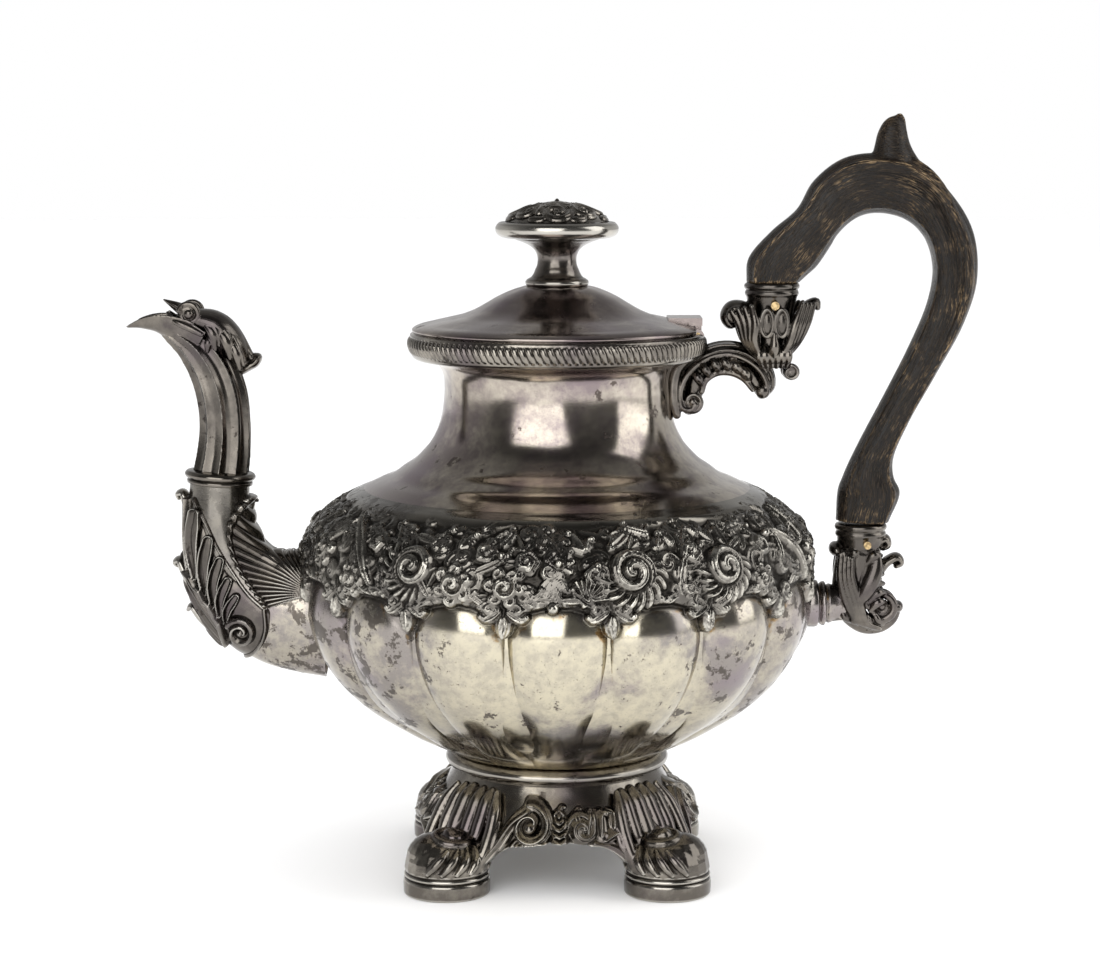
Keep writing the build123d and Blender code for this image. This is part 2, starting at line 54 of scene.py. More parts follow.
def around(count):
    """Evenly spaced angles round a circle."""
    return np.arange(count) * tau / count


def hermite(points, at, fine):
    """Smooth values at the places fine, through points given at the places at."""
    slope = np.gradient(points, at, axis=0)
    k = np.clip(np.searchsorted(at, fine, side="right") - 1, 0, len(at) - 2)
    h = (at[k + 1] - at[k])[:, None]
    s = (fine - at[k])[:, None] / h
    return (points[k] * (2 * s ** 3 - 3 * s ** 2 + 1) + slope[k] * h * (s ** 3 - 2 * s ** 2 + s)
            + points[k + 1] * (3 * s ** 2 - 2 * s ** 3) + slope[k + 1] * h * (s ** 3 - s ** 2))


def smooth_curve(points, count):
    """Points evenly spaced along a smooth curve through the given points, of any dimension."""
    p = np.asarray(points, float)
    gaps = np.sqrt(np.linalg.norm(np.diff(p[:, :2], axis=0), axis=1)) + 1e-9
    t = np.concatenate([[0], np.cumsum(gaps)])
    out = hermite(p, t, np.linspace(0, t[-1], max(count * 6, 60)))
    run = lengths(out[:, :2])
    even = np.linspace(0, run[-1], count)
    return np.stack([np.interp(even, run, out[:, i]) for i in range(p.shape[1])], axis=1)


def spiral(x, y, start_r, turns, start_deg, way=1, end_r=0.4, count=40):
    """A flat spiral from its outer end inwards; way 1 turns anticlockwise."""
    t = np.linspace(0, 1, count)
    r = start_r * (1 - t) ** 0.8 + end_r * t
    a = np.radians(start_deg) + way * tau * turns * t
    return np.stack([x + r * np.cos(a), y + r * np.sin(a)], axis=1)


def step(low, high, x):
    """0 below low, 1 above high and smooth between them."""
    t = np.clip((x - low) / (high - low), 0, 1)
    return t * t * (3 - 2 * t)


# ---- meshes ---------------------------------------------------------------------------------------
def grid_faces(rows, columns, wrap=True):
    """Quads of a grid of points, closed round its columns when wrap is set."""
    i = np.arange(rows - 1)[:, None]
    j = np.arange(columns if wrap else columns - 1)[None, :]
    a = i * columns + j
    b = i * columns + (j + 1) % columns
    return np.stack([a, b, b + columns, a + columns], axis=-1).reshape(-1, 4)


def neighbour_mean(values, edges, counts):
    """The mean of each vertex's neighbours' values."""
    total = np.zeros_like(values)
    for k in range(values.shape[1]):
        total[:, k] = (np.bincount(edges[:, 0], values[edges[:, 1], k], len(values))
                       + np.bincount(edges[:, 1], values[edges[:, 0], k], len(values)))
    return total / counts[:, None]


def mesh_edges(mesh):
    """The mesh's edges and each vertex's number of neighbours."""
    edges = np.empty(len(mesh.edges) * 2, np.int32)
    mesh.edges.foreach_get("vertices", edges)
    edges = edges.reshape(-1, 2)
    counts = np.maximum(np.bincount(edges.ravel(), minlength=len(mesh.vertices)), 1)
    return edges, counts


def headed(x, y, angles, steps):
    """A path from (x, y) that steps along each angle in turn."""
    return np.stack([x + np.cumsum(np.cos(angles) * steps), y + np.cumsum(np.sin(angles) * steps)], axis=1)


def sheet(rows, wrap=True):
    """Rows of points as one surface, closed round each row when wrap is set."""
    return rows.reshape(-1, 3), grid_faces(*rows.shape[:2], wrap)


def capped(rings):
    """Rings with a last ring at each end that is drawn together into a point."""
    low, high = (np.repeat(end.mean(axis=1, keepdims=True), rings.shape[1], axis=1)
                 for end in (rings[:1], rings[-1:]))
    return np.concatenate([low, rings, high])


def vertex_values(mesh, key):
    """Each vertex's place or normal."""
    values = np.empty(len(mesh.vertices) * 3)
    mesh.vertices.foreach_get(key, values)
    return values.reshape(-1, 3)


def write_field(mesh, key, values):
    """Store one number for each vertex, for the material to use."""
    layer = mesh.attributes.new(key, "FLOAT", "POINT")
    layer.data.foreach_set("value", values.astype(np.float32).ravel())


def write_hollow(mesh, reach, depth):
    """Store how far each vertex lies below its surroundings, -1 on crests and +1 in recesses."""
    at = vertex_values(mesh, "co")
    edges, counts = mesh_edges(mesh)
    spread = at
    for _ in range(reach):
        spread = 0.5 * spread + 0.5 * neighbour_mean(spread, edges, counts)
    below = np.sum((spread - at) * vertex_values(mesh, "normal"), axis=1)
    write_field(mesh, "hollow", np.clip(below / (depth * MM), -1, 1))


def make_mesh(name, points, faces):
    """A mesh from points in millimetres."""
    mesh = bpy.data.meshes.new(name)
    mesh.from_pydata((np.asarray(points) * MM).tolist(), [], faces.tolist())
    mesh.update()
    return mesh


def add_object(name, data):
    """A new object in the scene."""
    made = bpy.data.objects.new(name, data)
    bpy.context.scene.collection.objects.link(made)
    return made


def piece(name, shape, material, node, body="pot", reach=8, depth=0.25, normals=None,
          fields=None):
    """Put points and faces, or a finished mesh, in the scene as the looks of one part."""
    mesh = make_mesh(name, *shape) if isinstance(shape, tuple) else shape
    mesh.name = name
    mesh.shade_smooth()
    if normals is not None:
        mesh.normals_split_custom_set_from_vertices(normals.reshape(-1, 3).tolist())
    if fields is None:
        write_hollow(mesh, reach, depth)
    else:
        for key, values in fields.items():
            write_field(mesh, key, values)
    made = add_object(name, mesh)
    made.data.materials.append(material)
    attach(made, body)
    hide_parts(node)


def join(parts):
    """Several (points, faces) as one."""
    points, faces, start = [], [], 0
    for p, f in parts:
        points.append(p)
        faces.append(f + start)
        start += len(p)
    return np.concatenate(points), np.concatenate(faces)


def fused(parts, voxel, relax=1):
    """Overlapping closed shapes melted into one casting, with its edges eased."""
    holder = add_object("raw", make_mesh("raw", *join(parts)))
    melt = holder.modifiers.new("melt", "REMESH")
    melt.mode = "VOXEL"
    melt.voxel_size = voxel * MM
    mesh = bpy.data.meshes.new_from_object(holder.evaluated_get(bpy.context.evaluated_depsgraph_get()))
    bpy.data.objects.remove(holder)
    at = vertex_values(mesh, "co")
    edges, counts = mesh_edges(mesh)
    for pull in [0.5, -0.52] * relax:
        at = at + pull * (neighbour_mean(at, edges, counts) - at)
    mesh.vertices.foreach_set("co", at.ravel())
    mesh.update()
    return mesh


def tube(path, radius, flat=1.0, across=(0, 1, 0), sides=16, rings=40, wave=None):
    """A round-ended rod along a planar path. Radius may vary; flat is its width across the plane."""
    path = np.asarray(path, float)
    radius = np.broadcast_to(np.asarray(radius, float), len(path))
    t = lengths(path)
    line = hermite(np.column_stack([path, radius]), t, np.linspace(0, t[-1], rings))
    centre, r = line[:, :3], np.maximum(line[:, 3], 0.05)
    along = unit(np.gradient(centre, axis=0))
    cap = np.array([0.15, 0.55, 0.85])
    head = np.concatenate([centre[:1] - along[:1] * r[0] * np.sqrt(1 - c * c) for c in cap])
    tail = np.concatenate([centre[-1:] + along[-1:] * r[-1] * np.sqrt(1 - c * c) for c in cap[::-1]])
    centre = np.concatenate([head, centre, tail])
    r = np.concatenate([cap * r[0], r, cap[::-1] * r[-1]])
    along = np.concatenate([along[:1]] * 3 + [along] + [along[-1:]] * 3)
    up = unit(np.cross(along, np.asarray(across, float)))
    side = np.cross(up, along)
    angle = around(sides)
    ripple = np.ones(sides)
    if wave:
        count, deep = wave
        share = (angle * count / tau) % 1
        ripple = 1 - deep * (1 - (2 * share - 1) ** 2)
    ring_up = (ripple * np.sin(angle))[None, :, None] * (r[:, None, None] * up[:, None, :])
    ring_side = (ripple * np.cos(angle))[None, :, None] * (flat * r[:, None, None] * side[:, None, :])
    points, faces = sheet(centre[:, None, :] + ring_up + ring_side)
    tip = len(points)
    j = np.arange(sides)
    after = (j + 1) % sides
    last = tip - sides
    low = np.stack([np.full(sides, tip), after, j, j], axis=1)
    high = np.stack([np.full(sides, tip + 1), last + j, last + after, last + after], axis=1)
    return np.concatenate([points, centre[[0, -1]]]), np.concatenate([faces, low, high])


def rod(path, radius, y=0.0, **how):
    """A tube along an upright path of (x, z) points at one y."""
    return tube([(x, y, z) for x, z in path], radius, **how)


def strands(count, path, shift, radius, side=1, **how):
    """Rods side by side: each point of the path moves by its own shift from one rod to the next."""
    path, shift = (np.array(rows, float) * [1, side, 1] for rows in (path, shift))
    return [tube(path + k * shift, radius, **how) for k in range(count)]


def ball(centre, radius, scale=(1, 1, 1)):
    """A ball, or an ellipsoid by scale."""
    a = np.linspace(-pi / 2, pi / 2, 13)[:, None]
    b = around(20)[None, :]
    points = np.stack([np.cos(a) * np.cos(b), np.cos(a) * np.sin(b), np.sin(a) + 0 * b], axis=-1)
    return sheet(points * radius * np.asarray(scale) + np.asarray(centre))


def spin(points, degrees_z):
    """Points turned about Z."""
    a = radians(degrees_z)
    turn = np.array([[cos(a), -sin(a), 0], [sin(a), cos(a), 0], [0, 0, 1]])
    return np.asarray(points) @ turn.T


def lathe(profile, columns, offset=0.0, centre=(0, 0)):
    """A closed surface of revolution from (r, z) rows; offset moves points along the profile's normal."""
    profile = np.asarray(profile, float)
    along = unit(np.gradient(profile, axis=0), 1e-12)
    a = around(columns)
    lift = offset + np.zeros((len(profile), columns))
    r = profile[:, :1] + lift * along[:, 1:]
    z = profile[:, 1:] - lift * along[:, :1]
    return sheet(np.stack([r * np.cos(a) + centre[0], r * np.sin(a) + centre[1], z], axis=-1))


def wobble(rows_z, columns, size, seed):
    """Slow unevenness of hand-raised sheet over a lathe grid."""
    rng = np.random.default_rng(seed)
    waves = 9
    a = around(columns)[None, :]
    z = np.asarray(rows_z)[:, None]
    total = np.zeros((len(rows_z), columns))
    for _ in range(waves):
        high = rng.normal()
        total += high * np.sin(rng.integers(1, 14) * a + z * rng.uniform(0.02, 0.25) + rng.uniform(0, tau))
    return total * size / sqrt(waves)


# ---- chased relief --------------------------------------------------------------------------------
class Relief:
    """A height map in millimetres over points with flat positions (x, y); it may close on itself in x."""

    def __init__(self, x, y, turn=None):
        self.x, self.y, self.turn = x, y, turn
        self.h = np.zeros(x.shape)

    def put(self, x, y, reach, shape):
        if self.turn:
            gx = (self.x[0] - x + self.turn / 2) % self.turn - self.turn / 2
            columns = np.nonzero(np.abs(gx) < reach)[0]
            rows = np.nonzero(np.abs(self.y[:, 0] - y) < reach)[0]
            if len(columns) == 0 or len(rows) == 0:
                return
            where = np.ix_(rows, columns)
            gx = gx[columns][None, :] + np.zeros((len(rows), 1))
        else:
            where = np.nonzero((np.abs(self.x - x) < reach) & (np.abs(self.y - y) < reach))
            if len(where[0]) == 0:
                return
            gx = self.x[where] - x
        self.h[where] = np.maximum(self.h[where], shape(gx, self.y[where] - y))

    def stroke(self, path, width, height, flutes=0, ribs=0.0, rim=0.0):
        """A ridge along a path; flutes run along it, ribs spaces the cuts across it, rim is a raised edge."""
        path = np.asarray(path, float)
        width = np.broadcast_to(np.asarray(width, float), len(path))
        cx, cy = (path.min(axis=0) + path.max(axis=0)) / 2
        reach = np.abs(path - [cx, cy]).max() + width.max()
        run = lengths(path)
        top = width.max()

        def shape(gx, gy):
            px, py = gx + cx, gy + cy
            q = np.full(px.shape, 9.0)
            side, s, w = np.zeros_like(px), np.zeros_like(px), np.zeros_like(px)
            for k in range(len(path) - 1):
                ax, ay = path[k]
                bx, by = path[k + 1] - path[k]
                length = bx * bx + by * by + 1e-9
                t = np.clip(((px - ax) * bx + (py - ay) * by) / length, 0, 1)
                ex, ey = px - ax - t * bx, py - ay - t * by
                wide = np.maximum(width[k] + t * (width[k + 1] - width[k]), 0.05)
                here = np.hypot(ex, ey) / wide
                near = here < q
                q = np.where(near, here, q)
                side = np.where(near, np.sign(bx * ey - by * ex) * here, side)
                s = np.where(near, run[k] + t * sqrt(length), s)
                w = np.where(near, wide, w)
            h = height * np.sqrt(np.clip(1 - q * q, 0, 1)) * np.minimum(w / top + 0.35, 1)
            if flutes:
                h = h * (1 - 0.26 * (0.5 - 0.5 * np.cos(pi * flutes * (side + 1))))
            if rim:
                edge = (rim - height) * np.exp(-((q - 0.78) / 0.16) ** 2)
                h = np.where(q < 1, h * (1 - 0.35 * step(0.0, 0.5, 0.8 - q)) + edge, 0)
            if ribs:
                h = h * (1 - 0.4 * np.abs(np.cos(pi * (s / ribs + 0.8 * q))) ** 5)
            return h
        self.put(cx, cy, reach, shape)

    def dome(self, x, y, r, height):
        self.put(x, y, r, lambda gx, gy: height * np.sqrt(np.clip(1 - (gx ** 2 + gy ** 2) / r ** 2, 0, 1)))

    def leaf(self, x, y, length, width, angle, height, bend=0.0, flutes=2, rim=0.0, ribs=0.0):
        """A pointed leaf from its stalk, fluted along its length."""
        t = np.linspace(0, 1, 10)
        points = headed(x, y, radians(angle) + bend * t * 1.3, length / len(t))
        self.stroke(points, width * (0.2 + np.sin(pi * t ** 0.8) * 0.8), height, flutes, ribs, rim)

    def curl(self, x, y, length, width, angle, height, bend, flutes=2):
        """A leaf that ends in a tight roll."""
        t = np.linspace(0, 1, 20)
        a = radians(angle) + bend * (0.5 * t + 2.4 * np.clip(t - 0.55, 0, 1) ** 1.3 * 3)
        points = headed(x, y, a, length / len(t) * (1.25 - 0.75 * t))
        self.stroke(points, width * (0.55 + 0.6 * np.sin(pi * t ** 0.7)) * (1 - 0.45 * t), height, flutes)
        self.dome(points[-1, 0], points[-1, 1], width * 0.62, height * 1.02)

    def spray(self, x, y, length, angle, spread, count, height, bend=0.5, width=1.2):
        """Curling leaves fanned out from one point."""
        for k, share in enumerate(np.linspace(-1, 1, count)):
            self.curl(x, y, length * (1 - 0.3 * abs(share)), width, angle + spread * share,
                      height * (0.85 + 0.15 * (k % 2)), bend * (share + 0.3))

    def scroll(self, x, y, r, start, way, height, width=1.6, turns=1.5, flutes=2):
        """A volute with a raised eye."""
        path = spiral(x, y, r, turns, start, way, end_r=0.25 * r, count=30)
        self.stroke(path, np.linspace(width, width * 0.5, len(path)), height, flutes)
        self.dome(x, y, 0.2 * r + 0.4, height * 0.95)

    def swirl(self, x, y, r, start, way, height, turns=1.6, scallops=0):
        """A rolled scroll or bud: a thick ridge that winds out from its eye to a scalloped edge."""
        def shape(gx, gy):
            a = np.arctan2(gy, gx) - radians(start)
            rho = np.hypot(gx, gy) / (r * (0.93 + 0.07 * np.cos(scallops * a)))
            phase = (turns * rho - way * a / tau) % 1
            roll = np.sqrt(np.clip(1 - (2 * phase ** 0.75 - 1) ** 2, 0, 1))
            lines = 0.05 * np.cos(tau * 3 * phase)
            crown = np.sqrt(np.clip(1 - rho ** 3, 0, 1))
            return height * crown * (0.50 + 0.50 * roll + lines)
        self.put(x, y, r, shape)

    def rose(self, x, y, r, start, height):
        """A full-blown flower: round petals outside a rolled heart."""
        for k in range(6):
            a = start + 60 * k
            self.swirl(x + 0.62 * r * cos(radians(a)), y + 0.62 * r * sin(radians(a)), 0.42 * r, a, 1,
                       height * 0.82, 0.9)
        self.swirl(x, y, 0.70 * r, start, 1, height, 1.7)

    def flower(self, x, y, r, petals, start, height):
        """An open flower with a beaded heart."""
        for k in range(petals):
            a = start + k * 360 / petals
            self.leaf(x + 0.2 * r * cos(radians(a)), y + 0.2 * r * sin(radians(a)), r * 0.8, r * 0.34, a,
                      height * 0.9, 0.2, 0, 0.25)
        self.dome(x, y, r * 0.28, height * 1.08)

    def shell(self, x, y, r, angle, span, ribs, height):
        """A fan of ribs with a scalloped edge."""
        def shape(gx, gy):
            rho = np.hypot(gx, gy)
            a = (np.arctan2(gy, gx) - radians(angle) + pi) % tau - pi
            share = a / radians(span)
            rib = np.abs(np.cos(share * ribs * pi / 2))
            edge = r * (0.9 + 0.1 * rib)
            body = np.sqrt(np.clip(1 - np.abs(rho / edge * 1.15 - 0.55) ** 4, 0, 1))
            return height * np.where((np.abs(share) < 1) & (rho < edge), body * (0.5 + 0.5 * rib), 0)
        self.put(x, y, r, shape)

    def comb(self, x, y, r_in, r_out, start, sweep, ribs, height):
        """A ruff of curved ribs round part of a circle, as on the back of a scroll."""
        def shape(gx, gy):
            rho = np.hypot(gx, gy)
            across = (rho - r_in) / (r_out - r_in)
            a = (np.degrees(np.arctan2(gy, gx)) - start + 26 * across) % 360
            share = a / sweep
            rib = np.abs(np.sin(share * ribs * pi)) ** 0.8
            edge = 0.86 + 0.14 * rib
            arch = np.sqrt(np.clip(1 - (2 * across / edge - 1) ** 2, 0, 1))
            ends = np.sqrt(np.clip(1 - (2 * share - 1) ** 6, 0, 1))
            return height * np.where((share < 1) & (across > 0), ends * arch * (0.55 + 0.45 * rib), 0)
        self.put(x, y, r_out, shape)


# ---- materials ------------------------------------------------------------------------------------
class Nodes:
    """Short names for building a node tree."""

    def __init__(self, tree):
        self.tree = tree

    def feed(self, socket, value):
        """Link a socket to another node's output, or set its value."""
        if isinstance(value, bpy.types.NodeSocket):
            self.tree.links.new(value, socket)
        else:
            socket.default_value = value

    def new(self, kind, settings=None, **inputs):
        node = self.tree.nodes.new(kind)
        for key, value in (settings or {}).items():
            setattr(node, key, value)
        for key, value in inputs.items():
            self.feed(node.inputs[int(key[1:]) if key[1:].isdigit() else key], value)
        return node

    def place(self):
        return self.new("ShaderNodeTexCoord").outputs["Object"]

    def attribute(self, name, output="Fac"):
        return self.new("ShaderNodeAttribute", {"attribute_name": name}).outputs[output]

    def math(self, operation, a, b=0.0, clamp=False):
        return self.new("ShaderNodeMath", {"operation": operation, "use_clamp": clamp}, i0=a, i1=b).outputs[0]

    def times(self, a, b, clamp=False):
        return self.math("MULTIPLY", a, b, clamp)

    def plus(self, a, b, clamp=False):
        return self.math("ADD", a, b, clamp)

    def ramp(self, value, low, high):
        node = self.new("ShaderNodeMapRange", {"interpolation_type": "SMOOTHSTEP"}, Value=value)
        node.inputs["From Min"].default_value = low
        node.inputs["From Max"].default_value = high
        return node.outputs["Result"]

    def mix(self, factor, a, b):
        node = self.new("ShaderNodeMix", {"data_type": "RGBA"})
        for name, value in (("Factor", factor), ("A", a), ("B", b)):
            self.feed(next(s for s in node.inputs if s.name == name and s.enabled), value)
        return next(s for s in node.outputs if s.enabled)

    def noise(self, vector, scale, detail=4.0, rough=0.55):
        node = self.new("ShaderNodeTexNoise", Vector=vector, Scale=scale, Detail=detail, Roughness=rough)
        return node.outputs["Fac"]

    def stretched(self, vector, scale, *settings):
        """Noise that is finer along one axis than another."""
        return self.noise(self.new("ShaderNodeMapping", Vector=vector, Scale=scale).outputs[0], *settings)

    def bump(self, shader, strength, distance, height):
        node = self.new("ShaderNodeBump", Strength=strength, Distance=distance, Height=height)
        self.feed(shader.inputs["Normal"], node.outputs[0])


def rgb(r, g, b):
    return (r, g, b, 1.0)


def start_material(name):
    material = bpy.data.materials.new(name)
    material.use_nodes = True
    tree = material.node_tree
    tree.nodes.clear()
    n = Nodes(tree)
    shader = n.new("ShaderNodeBsdfPrincipled")
    out = n.new("ShaderNodeOutputMaterial")
    tree.links.new(shader.outputs[0], out.inputs[0])
    return material, n, shader


SOOT = rgb(0.014, 0.012, 0.010)
OCHRE = rgb(0.34, 0.21, 0.08)
CHASED_LIGHT = rgb(0.225, 0.21, 0.185)
CHASED_DARK = rgb(0.11, 0.102, 0.092)
# This colour and the next are painted highlights for crests, not colours of the metal.
CHASED_PAINTED_GLINT = rgb(0.58, 0.555, 0.49)
PAINTED_CREST_HIGHLIGHT = rgb(0.78, 0.75, 0.68)


def silver(name, clean, film, stain, cloud=0.5, islands=0.4, deep=1.0, rough=0.16, sides=0.0, relief=0.0,
           grain=0.02, ochre=0.0, chased=False):
    """Old silver: clean metal, a cloudy film, islands of stain, black in the recesses, and painted highlights
    on the crests.
    """
    material, n, shader = start_material(name)
    at = n.place()
    hollow = n.attribute("hollow")
    clouds = n.noise(at, 30.0, 8.0, 0.62)
    blots = n.noise(at, 125.0, 12.0, 0.70)
    fine = n.noise(at, 520.0, 6.0, 0.7)
    tint = n.noise(at, 44.0, 3.0, 0.5)
    film_amount = n.ramp(clouds, 0.66 - 0.34 * cloud, 0.80 - 0.24 * cloud)
    away = 1.0
    if sides:
        x = n.new("ShaderNodeSeparateXYZ", Vector=at).outputs[0]
        away = n.ramp(n.math("ABSOLUTE", n.math("SUBTRACT", x, 0.004)), 0.018, 0.072)
        film_amount = n.plus(film_amount, n.times(away, sides), True)
    mottle = n.times(n.ramp(n.noise(at, 260.0, 8.0, 0.7), 0.38, 0.66), 0.45)
    colour = n.mix(n.plus(film_amount, mottle, True), clean, film)
    violet = n.times(film_amount, n.ramp(tint, 0.5, 0.68))
    colour = n.mix(n.times(violet, 0.4), colour, rgb(film[0] * 0.85, film[1] * 0.72, film[2] * 1.02))
    push = n.times(away, 0.085) if sides else 0.03
    level = n.plus(n.plus(blots, push), n.times(n.math("SUBTRACT", fine, 0.5), 0.10))
    island = n.ramp(level, 0.672 - 0.14 * islands, 0.705 - 0.14 * islands)
    colour = n.mix(n.times(island, 0.88), colour, stain)
    pits = n.times(n.ramp(n.noise(at, 1500.0, 3.0), 0.63, 0.70), min(1.0, islands + 0.2))
    colour = n.mix(n.times(pits, 0.7), colour, stain)
    if ochre:
        rust = n.times(n.ramp(n.noise(at, 130.0, 8.0, 0.7), 0.52, 0.64), n.ramp(hollow, -0.05, 0.35))
        colour = n.mix(n.times(rust, ochre), colour, OCHRE)
    recess = n.times(n.ramp(hollow, 0.05, 0.6), deep, True)
    if chased:
        cover = n.attribute("chased")
        dark = n.mix(n.ramp(clouds, 0.35, 0.65), CHASED_LIGHT, CHASED_DARK)
        colour = n.mix(cover, colour, dark)
        recess = n.times(recess, n.plus(n.times(cover, 0.55), 0.45))
        # Painted glints: the crests of the chased ornament are flecked with a light colour.
        crest = n.times(n.ramp(n.times(hollow, -1.0), 0.25, 0.95), cover)
        colour = n.mix(n.times(crest, n.ramp(fine, 0.35, 0.6)), colour, CHASED_PAINTED_GLINT)
    colour = n.mix(recess, colour, SOOT)
    # Painted highlight: the crests of the relief are lightened towards a pale colour, standing in for glints.
    if relief:
        crest = n.times(n.ramp(n.times(hollow, -1.0), 0.2, 0.8), relief, True)
        colour = n.mix(crest, colour, PAINTED_CREST_HIGHLIGHT)
    n.feed(shader.inputs["Base Color"], colour)
    n.feed(shader.inputs["Metallic"], 1.0)
    roughness = n.plus(n.times(film_amount, 0.08), rough)
    roughness = n.plus(roughness, n.times(island, 0.18))
    roughness = n.plus(roughness, n.times(recess, 0.3), True)
    n.feed(shader.inputs["Roughness"], roughness)
    scratch = n.stretched(at, (1.0, 1.0, 3.5), 700.0, 5.0, 0.7)
    n.bump(shader, grain, 0.001, scratch)
    return material


def ebonised_wood():
    """Blackened fruitwood with open grain, rubbed brown on the edges."""
    material, n, shader = start_material("ebonised_wood")
    grain_at = n.attribute("grain", "Vector")
    hollow = n.attribute("hollow")
    streaks = n.stretched(grain_at, (0.13, 1.6, 1.6), 1.0, 5.0, 0.7)
    fibres = n.stretched(grain_at, (0.30, 3.8, 3.8), 1.0, 3.0, 0.6)
    patches = n.noise(grain_at, 0.11, 5.0, 0.65)
    edge = n.ramp(n.times(hollow, -1.0), 0.22, 0.80)
    worn = n.plus(n.times(edge, 0.9), n.times(n.ramp(patches, 0.50, 0.72), 0.6), True)
    worn = n.plus(worn, 0.07, True)
    colour = n.mix(n.ramp(streaks, 0.3, 0.7), rgb(0.003, 0.0024, 0.002), rgb(0.010, 0.007, 0.005))
    pores = n.ramp(fibres, 0.52, 0.60)
    dashes = n.times(worn, pores)
    colour = n.mix(n.times(worn, n.ramp(streaks, 0.40, 0.62)), colour, rgb(0.030, 0.019, 0.011))
    colour = n.mix(dashes, colour, rgb(0.24, 0.165, 0.09))
    n.feed(shader.inputs["Base Color"], colour)
    n.feed(shader.inputs["Roughness"], n.plus(n.times(streaks, 0.22), 0.16))
    n.feed(shader.inputs["Specular IOR Level"], 0.22)
    height = n.math("SUBTRACT", n.times(streaks, 0.5), n.times(pores, 0.5))
    n.bump(shader, 0.5, 0.0005, height)
    return material


def brass():
    """Dull brass of the pins."""
    material, n, shader = start_material("pin_brass")
    at = n.place()
    dirt = n.ramp(n.noise(at, 900.0, 4.0), 0.4, 0.7)
    n.feed(shader.inputs["Base Color"], n.mix(dirt, rgb(0.62, 0.46, 0.24), rgb(0.16, 0.11, 0.06)))
    n.feed(shader.inputs["Metallic"], 1.0)
    n.feed(shader.inputs["Roughness"], n.plus(n.times(dirt, 0.25), 0.28))
    return material


BODY = silver("body_silver", rgb(0.59, 0.54, 0.415), rgb(0.28, 0.255, 0.235), rgb(0.09, 0.078, 0.068),
              cloud=0.46, islands=0.50, deep=0.85, rough=0.13, sides=0.6, ochre=0.9, chased=True)
NECK = silver("neck_silver", rgb(0.50, 0.45, 0.375), rgb(0.25, 0.212, 0.20), rgb(0.10, 0.08, 0.07),
              cloud=0.75, islands=0.2, deep=0.6, rough=0.12)
LID = silver("lid_silver", rgb(0.36, 0.315, 0.28), rgb(0.22, 0.185, 0.175), rgb(0.09, 0.07, 0.06), cloud=0.8,
             islands=0.2, deep=0.7, rough=0.15)
# relief sets the strength of the painted crest highlight in this and the next material.
CAST = silver("cast_silver", rgb(0.31, 0.285, 0.245), rgb(0.14, 0.126, 0.110), rgb(0.05, 0.042, 0.036),
              cloud=0.85, islands=0.12, deep=1.0, rough=0.14, relief=0.45)
DARK = silver("dark_silver", rgb(0.20, 0.18, 0.155), rgb(0.10, 0.09, 0.08), rgb(0.04, 0.034, 0.03), cloud=0.8,
              islands=0.12, deep=1.0, rough=0.16, relief=0.40)
WOOD = ebonised_wood()
BRASS = brass()


# ---- body -----------------------------------------------------------------------------------------
LOBES = 16
BAND_FOOT = 84.0
GROUND = 2.5
BODY_LINE = [(34.6, 38.6), (38.5, 40.6), (46.0, 44.2), (54.0, 49.0), (61.0, 53.6), (67.0, 58.6),
             (71.6, 63.4), (75.4, 68.6), (78.4, 74.2), (80.6, 80.4), (81.6, 86.0), (81.6, 92.0),
             (81.2, 98.0), (80.7, 103.5), (79.4, 108.2), (76.6, 112.6), (72.6, 116.2), (68.6, 118.8),
             (66.2, 120.0), (63.6, 121.1), (61.0, 122.2)]
COLUMNS = 1440
BOWL_ROWS = 84
BAND_ROWS = 134
BAND_R = 81.0
GIRTH = BAND_R * tau
PLAIN_COLUMNS = 360
HINGE_NOTCH_X = 43.1
HINGE_NOTCH_WIDTH = 30.0


def arch_line(turn):
    """The height of the lobes' arched tops, and the place across a lobe: 0 at its middle, 1 in the groove."""
    share = 2 * np.abs((turn * LOBES / tau + 0.5) % 1 - 0.5)
    return 88.4 + 8.4 * np.sqrt(np.clip(1 - share ** 2, 0, 1)), share


def lobe_offset(line, turn):
    """The lobes as depth below the crest line: round across, and rounded at their arched tops."""
    r, z = line[:, :1], line[:, 1:]
    arch, share = arch_line(turn)
    cheek = (1 - np.sqrt(1 - 0.94 * share ** 2)) / (1 - sqrt(0.06))
    depth = 0.068 * r * step(37.0, 48.0, z)
    below = np.clip((arch - z) / 13.0, 0, 1)
    top = np.sqrt(1 - (1 - below) ** 2)
    return -depth * cheek - (GROUND - 0.35 * depth * cheek) * (1 - top)


def fill_ground(relief, above):
    """Low scrolling foliage all over the band, kept above the lobes' arches."""
    rng = np.random.default_rng(5)
    x, y = relief.x, relief.y
    bend = 0.9 * np.sin(x * tau * 7 / GIRTH + y * 0.21) + 0.8 * np.sin(x * tau * 11 / GIRTH - y * 0.17)
    flow = np.sin(x * tau * 41 / GIRTH + 0.45 * y + 2.2 * bend)
    counter = np.cos(x * tau * 17 / GIRTH - 0.62 * y + 1.7 * bend)
    relief.h = 0.75 + 0.45 * (flow * counter)
    for _ in range(420):
        relief.swirl(rng.uniform(0, GIRTH), rng.uniform(4.0, 44.0), rng.uniform(3.4, 6.6),
                     rng.uniform(0, 360), rng.choice([-1, 1]), rng.uniform(1.5, 2.6), rng.uniform(1.0, 1.7))
    for _ in range(300):
        relief.curl(rng.uniform(0, GIRTH), rng.uniform(4.0, 44.0), rng.uniform(9.0, 15.0),
                    rng.uniform(2.3, 3.4), rng.uniform(0, 360), rng.uniform(1.8, 2.8),
                    rng.uniform(0.4, 1.1) * rng.choice([-1, 1]), 3)
    relief.h = relief.h * above


